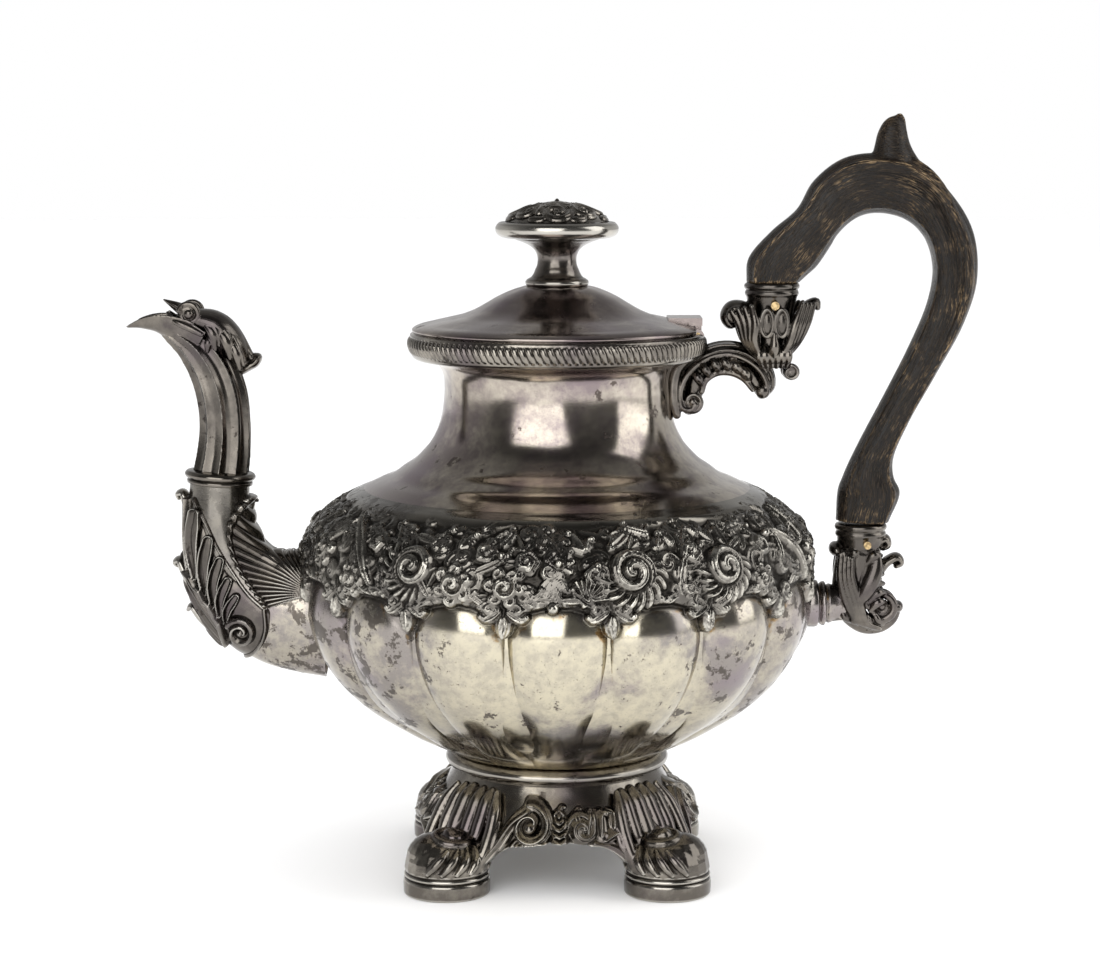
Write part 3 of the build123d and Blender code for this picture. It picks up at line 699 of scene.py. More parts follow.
def make_frieze(relief, at):
    """The flowers, scrolls and leaves of the band; at gives the flat place of an angle and a height."""
    for k in range(LOBES):
        lean = (-1) ** k
        x, y = at(11.25 + 22.5 * k, 89.0)
        relief.leaf(x, y + 6.6, 7.6, 2.7, -90, 3.0, 0.1 * lean, 3)
        for way in (-1, 1):
            relief.curl(x + way * 1.0, y + 7.4, 8.0, 2.3, 90 - way * 128, 2.7, way * 0.7, 3)
            relief.swirl(x + way * 4.2, y + 7.6, 3.1, 90 - way * 90, way, 2.7, 1.2)
            relief.curl(x + way * 5.4, y + 8.6, 9.4, 2.3, 90 - way * 58, 2.6, way * 0.3, 3)
        x, y = at(22.5 * k, 99.4)
        relief.curl(x - 1.0, y, 8.4, 2.2, 176, 2.6, 0.5 * lean, 3)
        relief.curl(x + 1.0, y, 8.4, 2.2, 4, 2.6, -0.5 * lean, 3)
        x, y = at(22.5 * k, 116.6)
        for shift, reach in ((-10.0, 11.0), (0.0, 9.0), (9.0, 11.0)):
            relief.spray(x + shift, y - 5.0, reach, 90 + 26 * lean, 34, 3, 2.5, 0.8 * lean, 2.3)
    for half in (0, 180):
        for phi, z, r, start in [(-22.5, 103.4, 7.2, 20), (-11.2, 103.2, 7.0, 50), (49.5, 101.5, 5.8, 40),
                                 (-50.0, 101.0, 6.0, 0), (-64.0, 108.0, 6.8, 70), (79.0, 103.0, 6.8, 10),
                                 (-84.0, 103.5, 6.6, 15), (28.5, 102.0, 4.2, 30)]:
            x, y = at(phi + half, z)
            relief.rose(x, y, r, start, 3.7)
        for phi, z, r, start, way, height in [(-16.0, 113.0, 4.8, 80, 1, 3.0), (-6.6, 110.6, 5.0, 0, -1, 3.2),
                                              (8.0, 107.0, 4.6, 30, 1, 3.3), (65.5, 111.0, 6.0, 0, -1, 3.3),
                                              (-74.0, 112.0, 5.6, 20, 1, 3.2), (87.0, 111.5, 5.4, 0, 1, 3.2),
                                              (-44.5, 113.0, 5.0, 0, -1, 3.2), (30.5, 112.0, 5.0, 60, 1, 3.2),
                                              (52.0, 111.5, 5.2, 90, -1, 3.3),
                                              (-95.0, 106.0, 5.4, 0, 1, 3.2)]:
            x, y = at(phi + half, z)
            relief.swirl(x, y, r, start, way, height, 1.5, 5)
        for phi, z, r, start, way, first, sweep in [(16.0, 107.5, 8.4, 140, -1, 165, 235),
                                                    (-32.5, 107.5, 8.2, 60, 1, 120, 215),
                                                    (38.5, 106.8, 8.0, 120, -1, 175, 225)]:
            x, y = at(phi + half, z)
            relief.comb(x, y, 0.6 * r, 1.5 * r, first, sweep, 13, 3.4)
            relief.swirl(x, y, r, start, way, 4.3, 2.1)
        x, y = at(0.2 + half, 110.0)
        relief.flower(x, y, 5.6, 8, 10, 3.7)
        x, y = at(-1.0 + half, 105.6)
        for angle, reach in ((-52, 8.5), (-78, 10.0), (-102, 10.0), (-128, 8.5)):
            relief.leaf(x, y + 1.5, reach, 2.2, angle, 3.4, 0.1, 0, 0.3)
        relief.dome(x, y - 8.4, 2.3, 3.6)
        x, y = at(6.6 + half, 101.6)
        relief.shell(x - 1.0, y - 2.4, 7.0, 62, 62, 9, 3.2)
        for phi, z, length, angle, bend in [(9.5, 100.0, 13.0, 78, 0.7), (26.5, 99.5, 16.0, 84, -0.6),
                                            (57.0, 104.0, 15.0, 70, 0.7), (-27.5, 99.0, 12.0, 130, -0.8),
                                            (-39.0, 100.0, 15.0, 64, 0.8), (46.0, 114.0, 12.0, 200, 0.6),
                                            (22.0, 117.0, 12.0, 160, -0.6)]:
            relief.curl(*at(phi + half, z), length, 2.7, angle, 3.3, bend, 3)
        for low, high, width in (((-57.5, 118.0), (-43.5, 100.0), 3.2), ((71.0, 98.0), (57.5, 115.0), 2.9)):
            a, b = at(low[0] + half, low[1]), at(high[0] + half, high[1])
            strap = smooth_curve([a, ((a[0] + b[0]) / 2 + 2.0, (a[1] + b[1]) / 2 + 1.0), b], 16)
            relief.stroke(strap, width * np.sin(np.linspace(0.5, 2.8, 16)) + 0.3, 3.5, 3)


def blurred(grid, reach):
    """A grid averaged over a window, closed round its columns."""
    for _ in range(2):
        total = sum(np.roll(grid, k, axis=1) for k in range(-reach, reach + 1))
        grid = total / (2 * reach + 1)
        padded = np.pad(grid, ((reach, reach), (0, 0)), mode="edge")
        grid = sum(padded[k:k + len(grid)] for k in range(2 * reach + 1)) / (2 * reach + 1)
    return grid


def outward(rows, tiny=0.0):
    """The direction out of a closed surface at each of its points."""
    sideways = np.roll(rows, -1, axis=1) - np.roll(rows, 1, axis=1)
    return unit(np.cross(sideways, np.gradient(rows, axis=0)), tiny)


def build_body():
    """Bowl and chased band from one continuous surface, parted at BAND_FOOT."""
    line = smooth_curve(BODY_LINE, 500)
    run = lengths(line)
    foot = run[int(np.argmin(np.abs(line[:, 1] - BAND_FOOT)))]
    s = np.concatenate([np.linspace(0, foot, BOWL_ROWS), np.linspace(foot, run[-1], BAND_ROWS)[1:]])
    line = np.stack([np.interp(s, run, line[:, 0]), np.interp(s, run, line[:, 1])], axis=1)
    turn = around(COLUMNS)[None, :] + 0 * s[:, None]
    relief = Relief(turn * BAND_R, s[:, None] - foot + 0 * turn, GIRTH)

    def at(phi, z):
        return (radians(phi - 90) % tau) * BAND_R, np.interp(z, line[:, 1], s - foot)
    z = line[:, 1:]
    arch = arch_line(turn)[0]
    fill_ground(relief, step(-0.4, 1.4, z - arch))
    make_frieze(relief, at)
    fade = step(0.5, 2.6, run[-1] - s)[:, None] * step(-2.0, 2.0, s - foot)[:, None]
    punched = np.random.default_rng(3).normal(size=turn.shape) * 0.04 * (relief.h > 0.05)
    ornament = np.where(relief.h * fade > 0.05, (relief.h + punched - GROUND) * fade, -9.0)
    plain = step(117.6, 120.6, z)
    lobes = lobe_offset(line, turn) * (1 - plain)
    uneven = wobble(s, COLUMNS, 0.11, 3) * step(0, 6, s)[:, None] * fade.clip(0.2)
    offset = np.maximum(lobes, ornament) + uneven
    cover = np.maximum(step(0.0, 0.5, ornament - lobes), 0.75 * step(-2.4, 0.2, z - arch))
    cover = np.maximum(blurred(cover, 1), step(98.0, 100.0, z) * (1 - 0.12 * plain))
    hollow = np.clip((blurred(offset, 5) - offset) / 0.75 + 0.28 * cover * step(0.8, 2.4, -offset), -1, 1)
    points = lathe(line, COLUMNS, offset)[0].reshape(len(s), COLUMNS, 3)
    normal = outward(points)
    build_bowl(points[:BOWL_ROWS, ::2], normal[:BOWL_ROWS, ::2],
               {"hollow": hollow[:BOWL_ROWS, ::2], "chased": cover[:BOWL_ROWS, ::2]})
    for side, first in (("front", COLUMNS // 2), ("back", 0)):
        keep = np.arange(first, first + COLUMNS // 2 + 1) % COLUMNS
        build_band(side, keep, points[BOWL_ROWS - 1:, keep], normal[BOWL_ROWS - 1:, keep],
                   {"hollow": hollow[BOWL_ROWS - 1:, keep], "chased": cover[BOWL_ROWS - 1:, keep]})


def build_bowl(wall, wall_out, fields):
    """The lobed wall with its floor under it and its lining inside."""
    def plain_part(profile):
        part = lathe(profile, wall.shape[1])[0].reshape(len(profile), *wall.shape[1:])
        return part, outward(part, 1e-9)
    under, under_out = plain_part([(0.05, 38.0), (12.0, 38.0), (26.0, 38.1), (31.0, 38.2)])
    lining = [(76.6, 84.2), (75.0, 76.0), (71.0, 67.0), (64.0, 58.0), (54.0, 50.4), (42.0, 44.6),
              (28.0, 41.2), (12.0, 40.2), (0.05, 40.0)]
    inside, inside_out = plain_part(smooth_curve(lining, 60))
    fields = {key: np.concatenate([np.zeros(under.shape[:2]), values, np.zeros(inside.shape[:2])])
              for key, values in fields.items()}
    piece("bowl_lobed", sheet(np.concatenate([under, wall, inside])), BODY, "bowl",
          normals=np.concatenate([under_out, wall_out, inside_out]), fields=fields)


def build_band(side, keep, wall, wall_out, fields):
    """One half of the chased band with its lining."""
    lining = smooth_curve([(59.4, 122.2), (66.0, 118.0), (73.0, 112.0), (76.4, 104.0), (76.8, 94.0),
                           (76.6, 84.2)], 24)
    a = keep * tau / COLUMNS
    back = np.stack([lining[:, :1] * np.cos(a), lining[:, :1] * np.sin(a), lining[:, 1:] + 0 * a], axis=-1)
    back_out = np.stack([-np.cos(a), -np.sin(a), 0 * a], axis=-1) + 0 * back
    fields = {key: np.concatenate([values, np.zeros(back.shape[:2])]) for key, values in fields.items()}
    piece("chased_band_" + side, sheet(np.concatenate([wall, back]), wrap=False), BODY, "shoulder_band",
          normals=np.concatenate([wall_out, back_out]), fields=fields)


def build_neck():
    line = smooth_curve([(61.0, 122.2), (56.5, 124.3), (52.0, 126.2), (48.6, 128.6), (45.4, 130.7),
                         (42.7, 133.2), (39.8, 136.6), (37.6, 140.8), (36.3, 145.0), (35.7, 149.5),
                         (35.5, 154.0), (35.9, 158.0), (37.4, 160.8), (39.2, 162.0), (41.0, 163.0),
                         (42.8, 164.4), (43.4, 167.0), (43.4, 171.0)], 150)
    rim = [(43.3, 171.0), (42.4, 171.0), (42.3, 168.0)]
    inner = smooth_curve([(42.2, 166.0), (40.0, 164.0), (35.8, 160.0), (34.4, 154.0), (35.4, 145.0),
                          (38.6, 137.0), (44.0, 130.6), (51.4, 125.4), (59.4, 122.2)], 50)
    profile = np.concatenate([line, rim, inner])
    offset = np.zeros((len(profile), PLAIN_COLUMNS))
    calm = (step(0, 8, line[:, 1] - 122.2) * step(0, 4, 164 - line[:, 1]))[:, None]
    offset[:len(line)] = wobble(line[:, 1], PLAIN_COLUMNS, 0.10, 8) * calm
    piece("neck_plain", lathe(profile, PLAIN_COLUMNS, offset), NECK, "neck")


def build_rim():
    """The gadrooned border: slanted, rope-like bosses between two fine wires."""
    line = smooth_curve([(43.3, 163.2), (44.4, 162.9), (45.4, 163.6), (45.9, 164.6), (46.5, 165.9),
                         (46.9, 167.3), (46.8, 168.7), (46.3, 169.7), (46.2, 170.5), (45.4, 171.0),
                         (43.4, 171.0)], 44)
    bosses, columns = 132, 1320
    z = line[:, 1:]
    twist = (around(columns)[None, :] * bosses / tau + (z - 166) * 0.16) % 1
    boss = np.sqrt(np.clip(1 - (2 * twist - 1) ** 2, 0, 1))
    part = step(164.4, 165.2, z) * (1 - step(169.3, 169.9, z)) * (line[:, :1] > 44.5)
    piece("rim_gadrooned", lathe(line, columns, (boss - 0.75) * 0.95 * part), CAST, "gadroon_rim", reach=4,
          depth=0.16)


def build_lid():
    line = smooth_curve([(44.8, 171.2), (45.5, 171.5), (45.6, 172.1), (45.1, 172.6), (43.6, 173.3),
                         (40.0, 174.2), (35.2, 175.3), (30.2, 176.5), (26.0, 178.1), (22.2, 180.2),
                         (18.8, 182.2), (15.0, 184.0), (11.6, 185.2), (8.0, 185.8), (4.0, 185.9),
                         (0.05, 185.9)], 130)
    under = smooth_curve([(0.05, 183.8), (8.0, 183.6), (16.0, 182.0), (22.0, 178.6), (29.0, 175.2),
                          (40.0, 172.6), (42.6, 171.3), (44.8, 171.2)], 40)
    profile = np.concatenate([under, line])
    offset = np.zeros((len(profile), PLAIN_COLUMNS))
    calm = (step(2, 8, line[:, 0]) * step(0, 4, 44 - line[:, 0]))[:, None]
    offset[len(under):] = wobble(line[:, 0], PLAIN_COLUMNS, 0.09, 21) * calm
    points, faces = lathe(profile, PLAIN_COLUMNS, offset)
    beside_hinge = np.abs(points[:, 1]) < HINGE_NOTCH_WIDTH / 2
    points[beside_hinge, 0] = np.minimum(points[beside_hinge, 0], HINGE_NOTCH_X)
    piece("lid_ogee", (points, faces), LID, "lid_dome", body="lid")
    stem = smooth_curve([(1.6, 185.4), (9.0, 185.5), (9.8, 186.0), (9.9, 187.0), (9.3, 187.7), (8.1, 188.4),
                         (7.2, 189.8), (6.9, 190.6), (6.3, 192.0), (6.1, 193.4), (6.2, 195.0), (6.9, 196.6),
                         (8.3, 198.0), (10.6, 199.2), (13.2, 200.2), (14.8, 201.4), (14.0, 202.6),
                         (8.0, 203.0), (1.6, 203.0)], 120)
    piece("finial_spool", lathe(stem, 180), CAST, "finial_stem", body="lid")
    build_button()


def build_button():
    """The button: a plain rolled edge and a chased crown."""
    side = smooth_curve([(1.6, 200.4), (12.0, 200.3), (16.6, 200.7), (18.6, 201.6), (19.3, 203.0),
                         (19.1, 204.4), (18.2, 205.4)], 30)
    top = smooth_curve([(18.2, 205.4), (15.6, 207.2), (12.4, 208.9), (9.0, 210.3), (5.0, 211.4),
                        (0.05, 211.8)], 90)
    columns = 540
    a = around(columns)
    relief = Relief(top[:, :1] * np.cos(a), top[:, :1] * np.sin(a))
    scrolls = 7
    for k in range(scrolls):
        t = radians(360 / scrolls * k + 12)
        x, y = 11.2 * cos(t), 11.2 * sin(t)
        relief.spray(0.4 * x, 0.4 * y, 9.5, degrees(t) + 30, 40, 4, 1.0, 0.8, 1.4)
        relief.scroll(x, y, 4.4, degrees(t) + 100, (-1) ** k, 1.3, 1.6, 1.3)
        relief.curl(15.4 * cos(t + 0.3), 15.4 * sin(t + 0.3), 7.0, 1.4, degrees(t) + 110, 1.0, 0.8)
        relief.curl(5.4 * cos(t), 5.4 * sin(t), 6.0, 1.3, degrees(t) - 40, 1.2, -0.8)
    relief.dome(0, 0, 4.0, 1.2)
    relief.flower(0, 0, 3.4, 6, 0, 1.7)
    lift = (relief.h - 0.8) * step(0.0, 1.6, 18.2 - top[:, :1])
    offset = np.concatenate([np.zeros((len(side), columns)), lift])
    piece("finial_mushroom", lathe(np.concatenate([side, top]), columns, offset), CAST, "finial_button",
          body="lid", reach=5, depth=0.16)


# ---- foot -----------------------------------------------------------------------------------------
PADS = {"front_handle": -45, "back_handle": 45, "back_spout": 135, "front_spout": 225}
PAD_AT = 48.3
LEG_FOOT = 6.8
TOE_R = 13.0
TOE_Z = 8.4
APRON_R = 40.0
APRON_TOP = 33.0


def draw_apron(relief, at):
    """The ornament of one quarter of the apron; at gives the flat place of a distance round and a height."""
    edge = smooth_curve([at(-20.5, 11.0), at(-17.0, 16.5), at(-13.5, 23.0), at(-9.5, 26.2)], 16)
    relief.stroke(edge, [1.5] * 5 + [2.1] * 11, 4.0, 2)
    relief.scroll(*at(-8.2, 22.4), 6.0, -100, 1, 4.2, 2.2, 1.2, 2)
    relief.dome(*at(-8.2, 22.0), 2.4, 3.8)
    relief.comb(*at(-8.6, 19.6), 1.6, 6.6, 10, 165, 8, 3.2)
    relief.leaf(*at(0.6, 27.4), 12.6, 3.4, 92, 3.4, -0.1, 0, 0, 1.9)
    relief.swirl(*at(7.6, 21.8), 5.0, 200, -1, 4.0, 1.3)
    relief.leaf(*at(5.6, 26.6), 9.0, 2.4, 70, 3.6, 0.4, 3)
    relief.leaf(*at(11.0, 27.0), 9.4, 2.6, 96, 3.8, 0.3, 3)
    relief.curl(*at(12.6, 18.4), 9.6, 2.6, -84, 3.4, 0.5)
    relief.curl(*at(12.8, 17.6), 9.0, 2.2, -30, 3.3, 0.8)
    relief.dome(*at(13.4, 19.0), 2.8, 3.1)
    relief.curl(*at(17.0, 20.6), 7.0, 2.0, -70, 3.0, -0.6)
    relief.stroke(smooth_curve([at(10.5, 17.6), at(15.5, 16.0), at(20.5, 12.0)], 12), 2.0, 2.9, 2)
    for u in np.arange(-10, 15, 5.0):
        relief.curl(*at(u, 24.5), 5.0, 1.1, -70 + 4 * u, 1.5, 0.7)


def build_base():
    ring = smooth_curve([(26.0, 38.4), (26.0, 33.2), (32.6, 32.9), (34.2, 33.4), (35.2, 34.4), (35.6, 35.6),
                         (35.0, 36.8), (33.6, 37.8), (30.0, 38.4)], 60)
    piece("base_torus", lathe(ring, 240), CAST, "base_ring")
    flare = smooth_curve([(33.8, 33.0), (35.6, 29.6), (37.6, 26.4), (40.0, 22.6), (42.4, 18.6), (44.4, 14.0),
                          (45.6, 8.6)], 200)
    columns, rows = 1200, 100
    a = around(columns)
    off = np.abs(a % (pi / 2) - pi / 4)
    bottom = 9.0 + 7.6 * np.sqrt(step(0.26, 0.52, off)) + 1.2 * step(0.5, 0.8, off)
    v = np.linspace(0, 1, rows)[:, None]
    z = APRON_TOP - v * (APRON_TOP - bottom[None, :])
    flare_r = np.interp(-z.ravel(), -flare[:, 1], flare[:, 0]).reshape(z.shape)
    relief = Relief(a[None, :] * APRON_R + 0 * z, APRON_TOP - z, APRON_R * tau)
    for k in range(4):
        draw_apron(relief, lambda u, height, middle=k * pi / 2 * APRON_R: (middle + u, APRON_TOP - height))
    r = flare_r + relief.h * step(0.0, 4.0, 30.8 - z) - 1.0 + 0.5 * np.exp(-((v - 1) / 0.05) ** 2)
    back_r = flare_r[::-1] - 2.6
    outer = np.stack([r * np.cos(a), r * np.sin(a), z], axis=-1)
    inner = np.stack([back_r * np.cos(a), back_r * np.sin(a), z[::-1]], axis=-1)
    whole = np.concatenate([outer, inner[::4], inner[-1:], outer[:1]])[::-1]
    piece("foot_apron", sheet(whole), CAST, "foot_skirt", reach=5, depth=0.24)


def leg_parts(side):
    """One cast leg on +X: flutes flowing down to a domed toe with a volute and slanting leaf ridges."""
    parts = [tube([(32.6, 0, 27.6), (35.4, 0, 21.6), (39.6, 0, 15.0), (44.0, 0, 9.6)], [3.4, 4.6, 6.0, 7.0],
                  flat=1.75, rings=30, sides=32)]
    for y, girth in ((-7.2, 2.2), (-2.7, 2.8), (2.4, 2.5), (6.8, 2.4)):
        bow = 0.0045 * y * y
        path = [(34.4 - bow, y * 0.86, 30.0), (36.6 - bow, y * 0.92, 27.6), (39.2 - bow, y, 23.4),
                (42.0 - bow, y * 1.06, 18.6), (44.6 - bow, y * 1.04, 14.0)]
        parts.append(tube(path, girth * np.array([0.7, 1.0, 1.05, 1.0, 0.5]), flat=0.9, sides=24))
    for edge in (-1, 1):
        parts.append(tube([(35.0, edge * 9.0, 30.4), (38.2, edge * 11.0, 25.4), (41.2, edge * 12.2, 19.6),
                           (44.4, edge * 12.4, 13.6), (47.0, edge * 11.8, 9.0)], [1.0, 1.9, 2.0, 2.0, 1.6],
                          rings=30, sides=20))
        parts.append(tube([(38.6, edge * 13.2, 22.4), (41.4, edge * 14.2, 17.4), (44.2, edge * 13.6, 12.0)],
                          [0.8, 1.3, 1.0], rings=24, sides=14))
    parts.append(ball((PAD_AT + 0.2, 0, TOE_Z), 1.0, (TOE_R, TOE_R + 0.1, 10.6)))
    parts.append(ball((PAD_AT + 3.4, -side * 1.6, 11.6), 1.0, (8.8, 9.2, 7.4)))
    curl = spiral(0, 0, 6.2, 1.35, 150, -side, end_r=1.6)
    x, y = PAD_AT + 0.6 + curl[:, 0], side * 2.4 + curl[:, 1]
    bulge = np.clip(1 - ((x - PAD_AT) / TOE_R) ** 2 - (y / (TOE_R + 0.1)) ** 2, 0, 1)
    roll = np.stack([x, y, TOE_Z + 10.3 * np.sqrt(bulge)], axis=1)
    parts.append(tube(roll, np.linspace(1.5, 1.2, len(roll)), across=(0, 0, 1), rings=70, sides=20))
    parts.append(ball((PAD_AT + 0.6, side * 2.4, 18.4), 2.6, (1, 1, 0.85)))
    for k in range(7):
        low = radians(side * (20 + 20 * k))
        path = []
        for lift in (0.02, 0.24, 0.46, 0.66):
            r = TOE_R * sqrt(1 - lift ** 2) + 0.1
            t = low + side * 0.75 * lift
            path.append((PAD_AT + r * cos(t), r * sin(t), TOE_Z + 10.6 * lift))
        parts.append(tube(path, [0.8, 1.35, 1.25, 0.5], across=(cos(low), sin(low), 0.3), rings=20, sides=14))
    return parts


def build_legs():
    pad_line = smooth_curve([(0.05, 0.0), (12.6, 0.0), (13.3, 0.2), (13.4, 0.9), (13.35, 4.6), (13.0, 5.0),
                             (12.8, 5.3), (13.2, 5.7), (13.3, 6.2), (12.9, 6.7), (12.7, 7.0), (12.9, 7.4),
                             (12.6, 8.0), (8.0, 8.3), (0.05, 8.4)], 90)
    for name, turn in PADS.items():
        side = 1 if name in ("front_spout", "back_handle") else -1
        parts = [(np.maximum(spin(points, turn), [-999.0, -999.0, LEG_FOOT]), faces)
                 for points, faces in leg_parts(side)]
        piece("scroll_leg_" + name, fused(parts, 0.34), CAST, "leg_" + name, reach=7, depth=0.22)
        centre = (PAD_AT * cos(radians(turn)), PAD_AT * sin(radians(turn)))
        piece("pad_" + name, lathe(pad_line, 160, centre=centre), CAST, "foot_pad_" + name, reach=4,
              depth=0.12)


# ---- spout ----------------------------------------------------------------------------------------
ELBOW = [(-72.0, 80.6, 19.8, 13.8), (-80.0, 81.3, 19.0, 13.2), (-88.0, 83.2, 18.4, 12.8),
         (-96.4, 87.6, 16.6, 12.0), (-102.4, 94.2, 14.2, 11.2), (-105.8, 103.0, 11.8, 10.4),
         (-107.0, 112.0, 10.2, 9.8), (-106.9, 120.0, 9.5, 9.3), (-106.6, 126.0, 9.2, 9.1)]


def elbow_surface(t, angle, lift=0.0):
    """A point on the elbow: t runs 0 to 1 along it, angle 0 is its outside and pi its inside."""
    count = 200
    rows = smooth_curve(ELBOW, count)
    along = unit(np.gradient(rows[:, :2], axis=0))
    pick = np.clip(t, 0, 1) * (count - 1)
    x, z, high, wide, along_x, along_z = (np.interp(pick, np.arange(count), values)
                                          for values in np.column_stack([rows, along]).T)
    h = (high + lift) * np.cos(angle)
    w = (wide + lift) * np.sin(angle)
    return np.stack([x - along_z * h, -w, z + along_x * h], axis=-1)


def build_spout_lower():
    t = np.linspace(0, 1, 140)[:, None]
    angle = around(200)[None, :]
    outer = elbow_surface(t, angle)
    inner = elbow_surface(t[::-2], angle, -1.2)
    dark = 0.85 * step(0.26, 0.50, t)
    cover = np.concatenate([dark, 0 * t[::-2], dark[:1]]) * np.ones(angle.shape)
    piece("spout_elbow", sheet(np.concatenate([outer, inner, outer[:1]])), BODY, "spout_lower",
          fields={"chased": cover, "hollow": -0.2 * cover})
    ring = smooth_curve([(8.6, -2.6), (10.2, -2.3), (10.3, -1.3), (9.7, -1.0), (10.6, -0.6), (11.2, 0.4),
                         (10.6, 1.4), (9.6, 1.7), (8.6, 1.9)], 50)
    points, faces = lathe(ring, 160)
    tilt = radians(4)
    turned = points.copy()
    turned[:, 0] = points[:, 0] * cos(tilt) + points[:, 2] * sin(tilt) - 106.6
    turned[:, 2] = -points[:, 0] * sin(tilt) + points[:, 2] * cos(tilt) + 125.4
    piece("collar_ring", (turned, faces), DARK, "spout_collar")


def on_elbow(name, node, t_low, t_high, middle, half_angle, draw, curls):
    """A leaf over both sides of the elbow, drawn in side view; where it has no relief it sinks in."""
    rows, columns = 300, 320
    t = np.linspace(t_low, t_high, rows)[:, None]
    angle = np.linspace(middle - half_angle, middle + half_angle, columns)[None, :]
    flat = elbow_surface(t, angle, 0.8)
    relief = Relief(flat[:, :, 0], flat[:, :, 2])
    draw(relief)
    edge = np.minimum(step(0, 0.02, t - t_low), step(0, 0.02, t_high - t))
    lift = np.where(relief.h * edge > 0.03, relief.h * edge, -0.7)
    outer = elbow_surface(t, angle, lift)
    inner = elbow_surface(t[::-1], angle, -0.9)
    leaf = sheet(np.concatenate([outer, inner[::8], outer[:1]]), wrap=False)
    piece(name, join([leaf] + curls), DARK, node, reach=6, depth=0.24)


def draw_acanthus(relief):
    """Long feathers, a scalloped second leaf, a small third one, a volute and the smooth plate below."""
    relief.stroke(smooth_curve([(-93.4, 83.2), (-94.4, 77.0), (-98.4, 71.4), (-104.0, 70.4), (-110.0, 75.0)],
                               14), 3.4, 0.9)
    relief.stroke([(-97.0, 79.0), (-101.0, 76.0), (-107.0, 80.0), (-112.0, 86.0)], 6.4, 0.9)
    relief.stroke([(-96.0, 83.0), (-101.0, 88.0), (-106.0, 92.0), (-112.0, 100.0), (-116.0, 110.0)], 4.6, 0.9)
    relief.stroke(smooth_curve([(-91.9, 84.9), (-91.8, 77.6), (-95.4, 70.4), (-101.4, 66.8)], 14), 0.7, 1.5)
    relief.stroke(smooth_curve([(-91.9, 84.9), (-97.0, 89.6), (-101.8, 96.4), (-106.4, 103.6),
                                (-110.6, 112.0), (-114.6, 119.0)], 20), 0.6, 1.2)
    for low, high, width in (((-116.8, 97.0), (-117.6, 118.4), 1.7), ((-113.6, 94.5), (-113.4, 114.6), 2.4),
                             ((-110.6, 89.6), (-109.2, 106.4), 2.3), ((-108.0, 85.8), (-105.8, 100.0), 2.1),
                             ((-106.0, 82.8), (-103.2, 93.8), 1.9), ((-104.2, 80.6), (-100.8, 88.6), 1.7)):
        middle = ((low[0] + high[0]) / 2 - 0.8, (low[1] + high[1]) / 2)
        swell = np.interp(np.arange(14), [0, 5, 10, 13], [0.4, 0.9, 1.0, 0.8])
        relief.stroke(smooth_curve([low, middle, high], 14), width * swell, 1.3, rim=3.0)
    relief.stroke([(-118.6, 96.8), (-117.0, 91.0), (-113.8, 84.8), (-109.6, 79.0), (-105.2, 74.0)],
                  [1.0, 2.6, 3.5, 3.4, 2.0], 2.8, 5)
    scallops = [(-118.6, 97.0), (-115.2, 94.4), (-113.4, 91.6), (-112.0, 90.4), (-110.6, 87.2),
                (-109.0, 86.0), (-107.4, 82.4), (-106.2, 80.4), (-105.2, 76.4), (-104.4, 73.0)]
    relief.stroke(scallops, 0.9, 3.2)
    relief.stroke([(-115.8, 82.8), (-112.8, 79.2), (-109.0, 75.4), (-105.4, 72.0)], [0.7, 1.9, 2.0, 1.0],
                  3.3, 3)
    relief.scroll(-99.6, 77.2, 4.5, 150, -1, 2.6, 1.3, 1.45, 0)


def draw_fan(relief):
    """A shell of fine ribs opening away from the body, with a beaded edge."""
    first, rib_gap = 126.0, 5.2
    turns = [first, 134.0, 142.7, 147.7, 160.5, 172.3, 186.0, 198.8]
    reach = [35.6, 35.4, 34.0, 32.2, 26.4, 21.4, 17.6, 16.0]

    def shape(gx, gz):
        rho = np.hypot(gx, gz)
        a = np.degrees(np.arctan2(gz, gx)) % 360
        rib = np.abs(np.cos(pi * (a - first) / rib_gap))
        out = np.interp(a, turns, reach) + 0.7 * rib
        inside = (a > 118) & (a < 198) & (rho < out) & (rho > 3)
        rim = np.exp(-((rho - out + 0.9) / 0.75) ** 2)
        return np.where(inside, 0.7 + 0.95 * rib * step(2, 12, rho) + 0.9 * rim, 0)
    relief.put(-76.0, 90.0, 40.0, shape)


def build_spout_leaves():
    rolls = [rod([(-116.4, 114.0), (-117.4, 118.0), (-118.8, 120.2), (-120.0, 119.6), (-119.8, 118.4)],
                 [1.6, 1.7, 1.3, 1.0, 0.7], flat=2.6, rings=30),
             rod([(-116.8, 92.0), (-118.6, 96.4), (-120.2, 98.6), (-121.2, 97.8), (-120.6, 96.8)],
                 [1.6, 1.7, 1.3, 1.0, 0.7], flat=2.8, rings=30),
             rod([(-109.4, 76.0), (-113.4, 80.4), (-116.6, 83.6), (-117.4, 82.6)], [1.4, 1.5, 1.1, 0.7],
                 flat=2.8, rings=30)]
    tip = rod([(-97.6, 112.0), (-97.0, 116.0), (-96.0, 118.2), (-95.0, 117.6)], [1.2, 1.3, 1.0, 0.6],
              flat=2.2, rings=24)
    on_elbow("spout_leaf_outer", "spout_acanthus", 0.20, 0.94, 0.0, 2.35, draw_acanthus, rolls)
    on_elbow("spout_leaf_inner", "spout_fan_leaf", 0.05, 0.92, pi, 1.95, draw_fan, [tip])


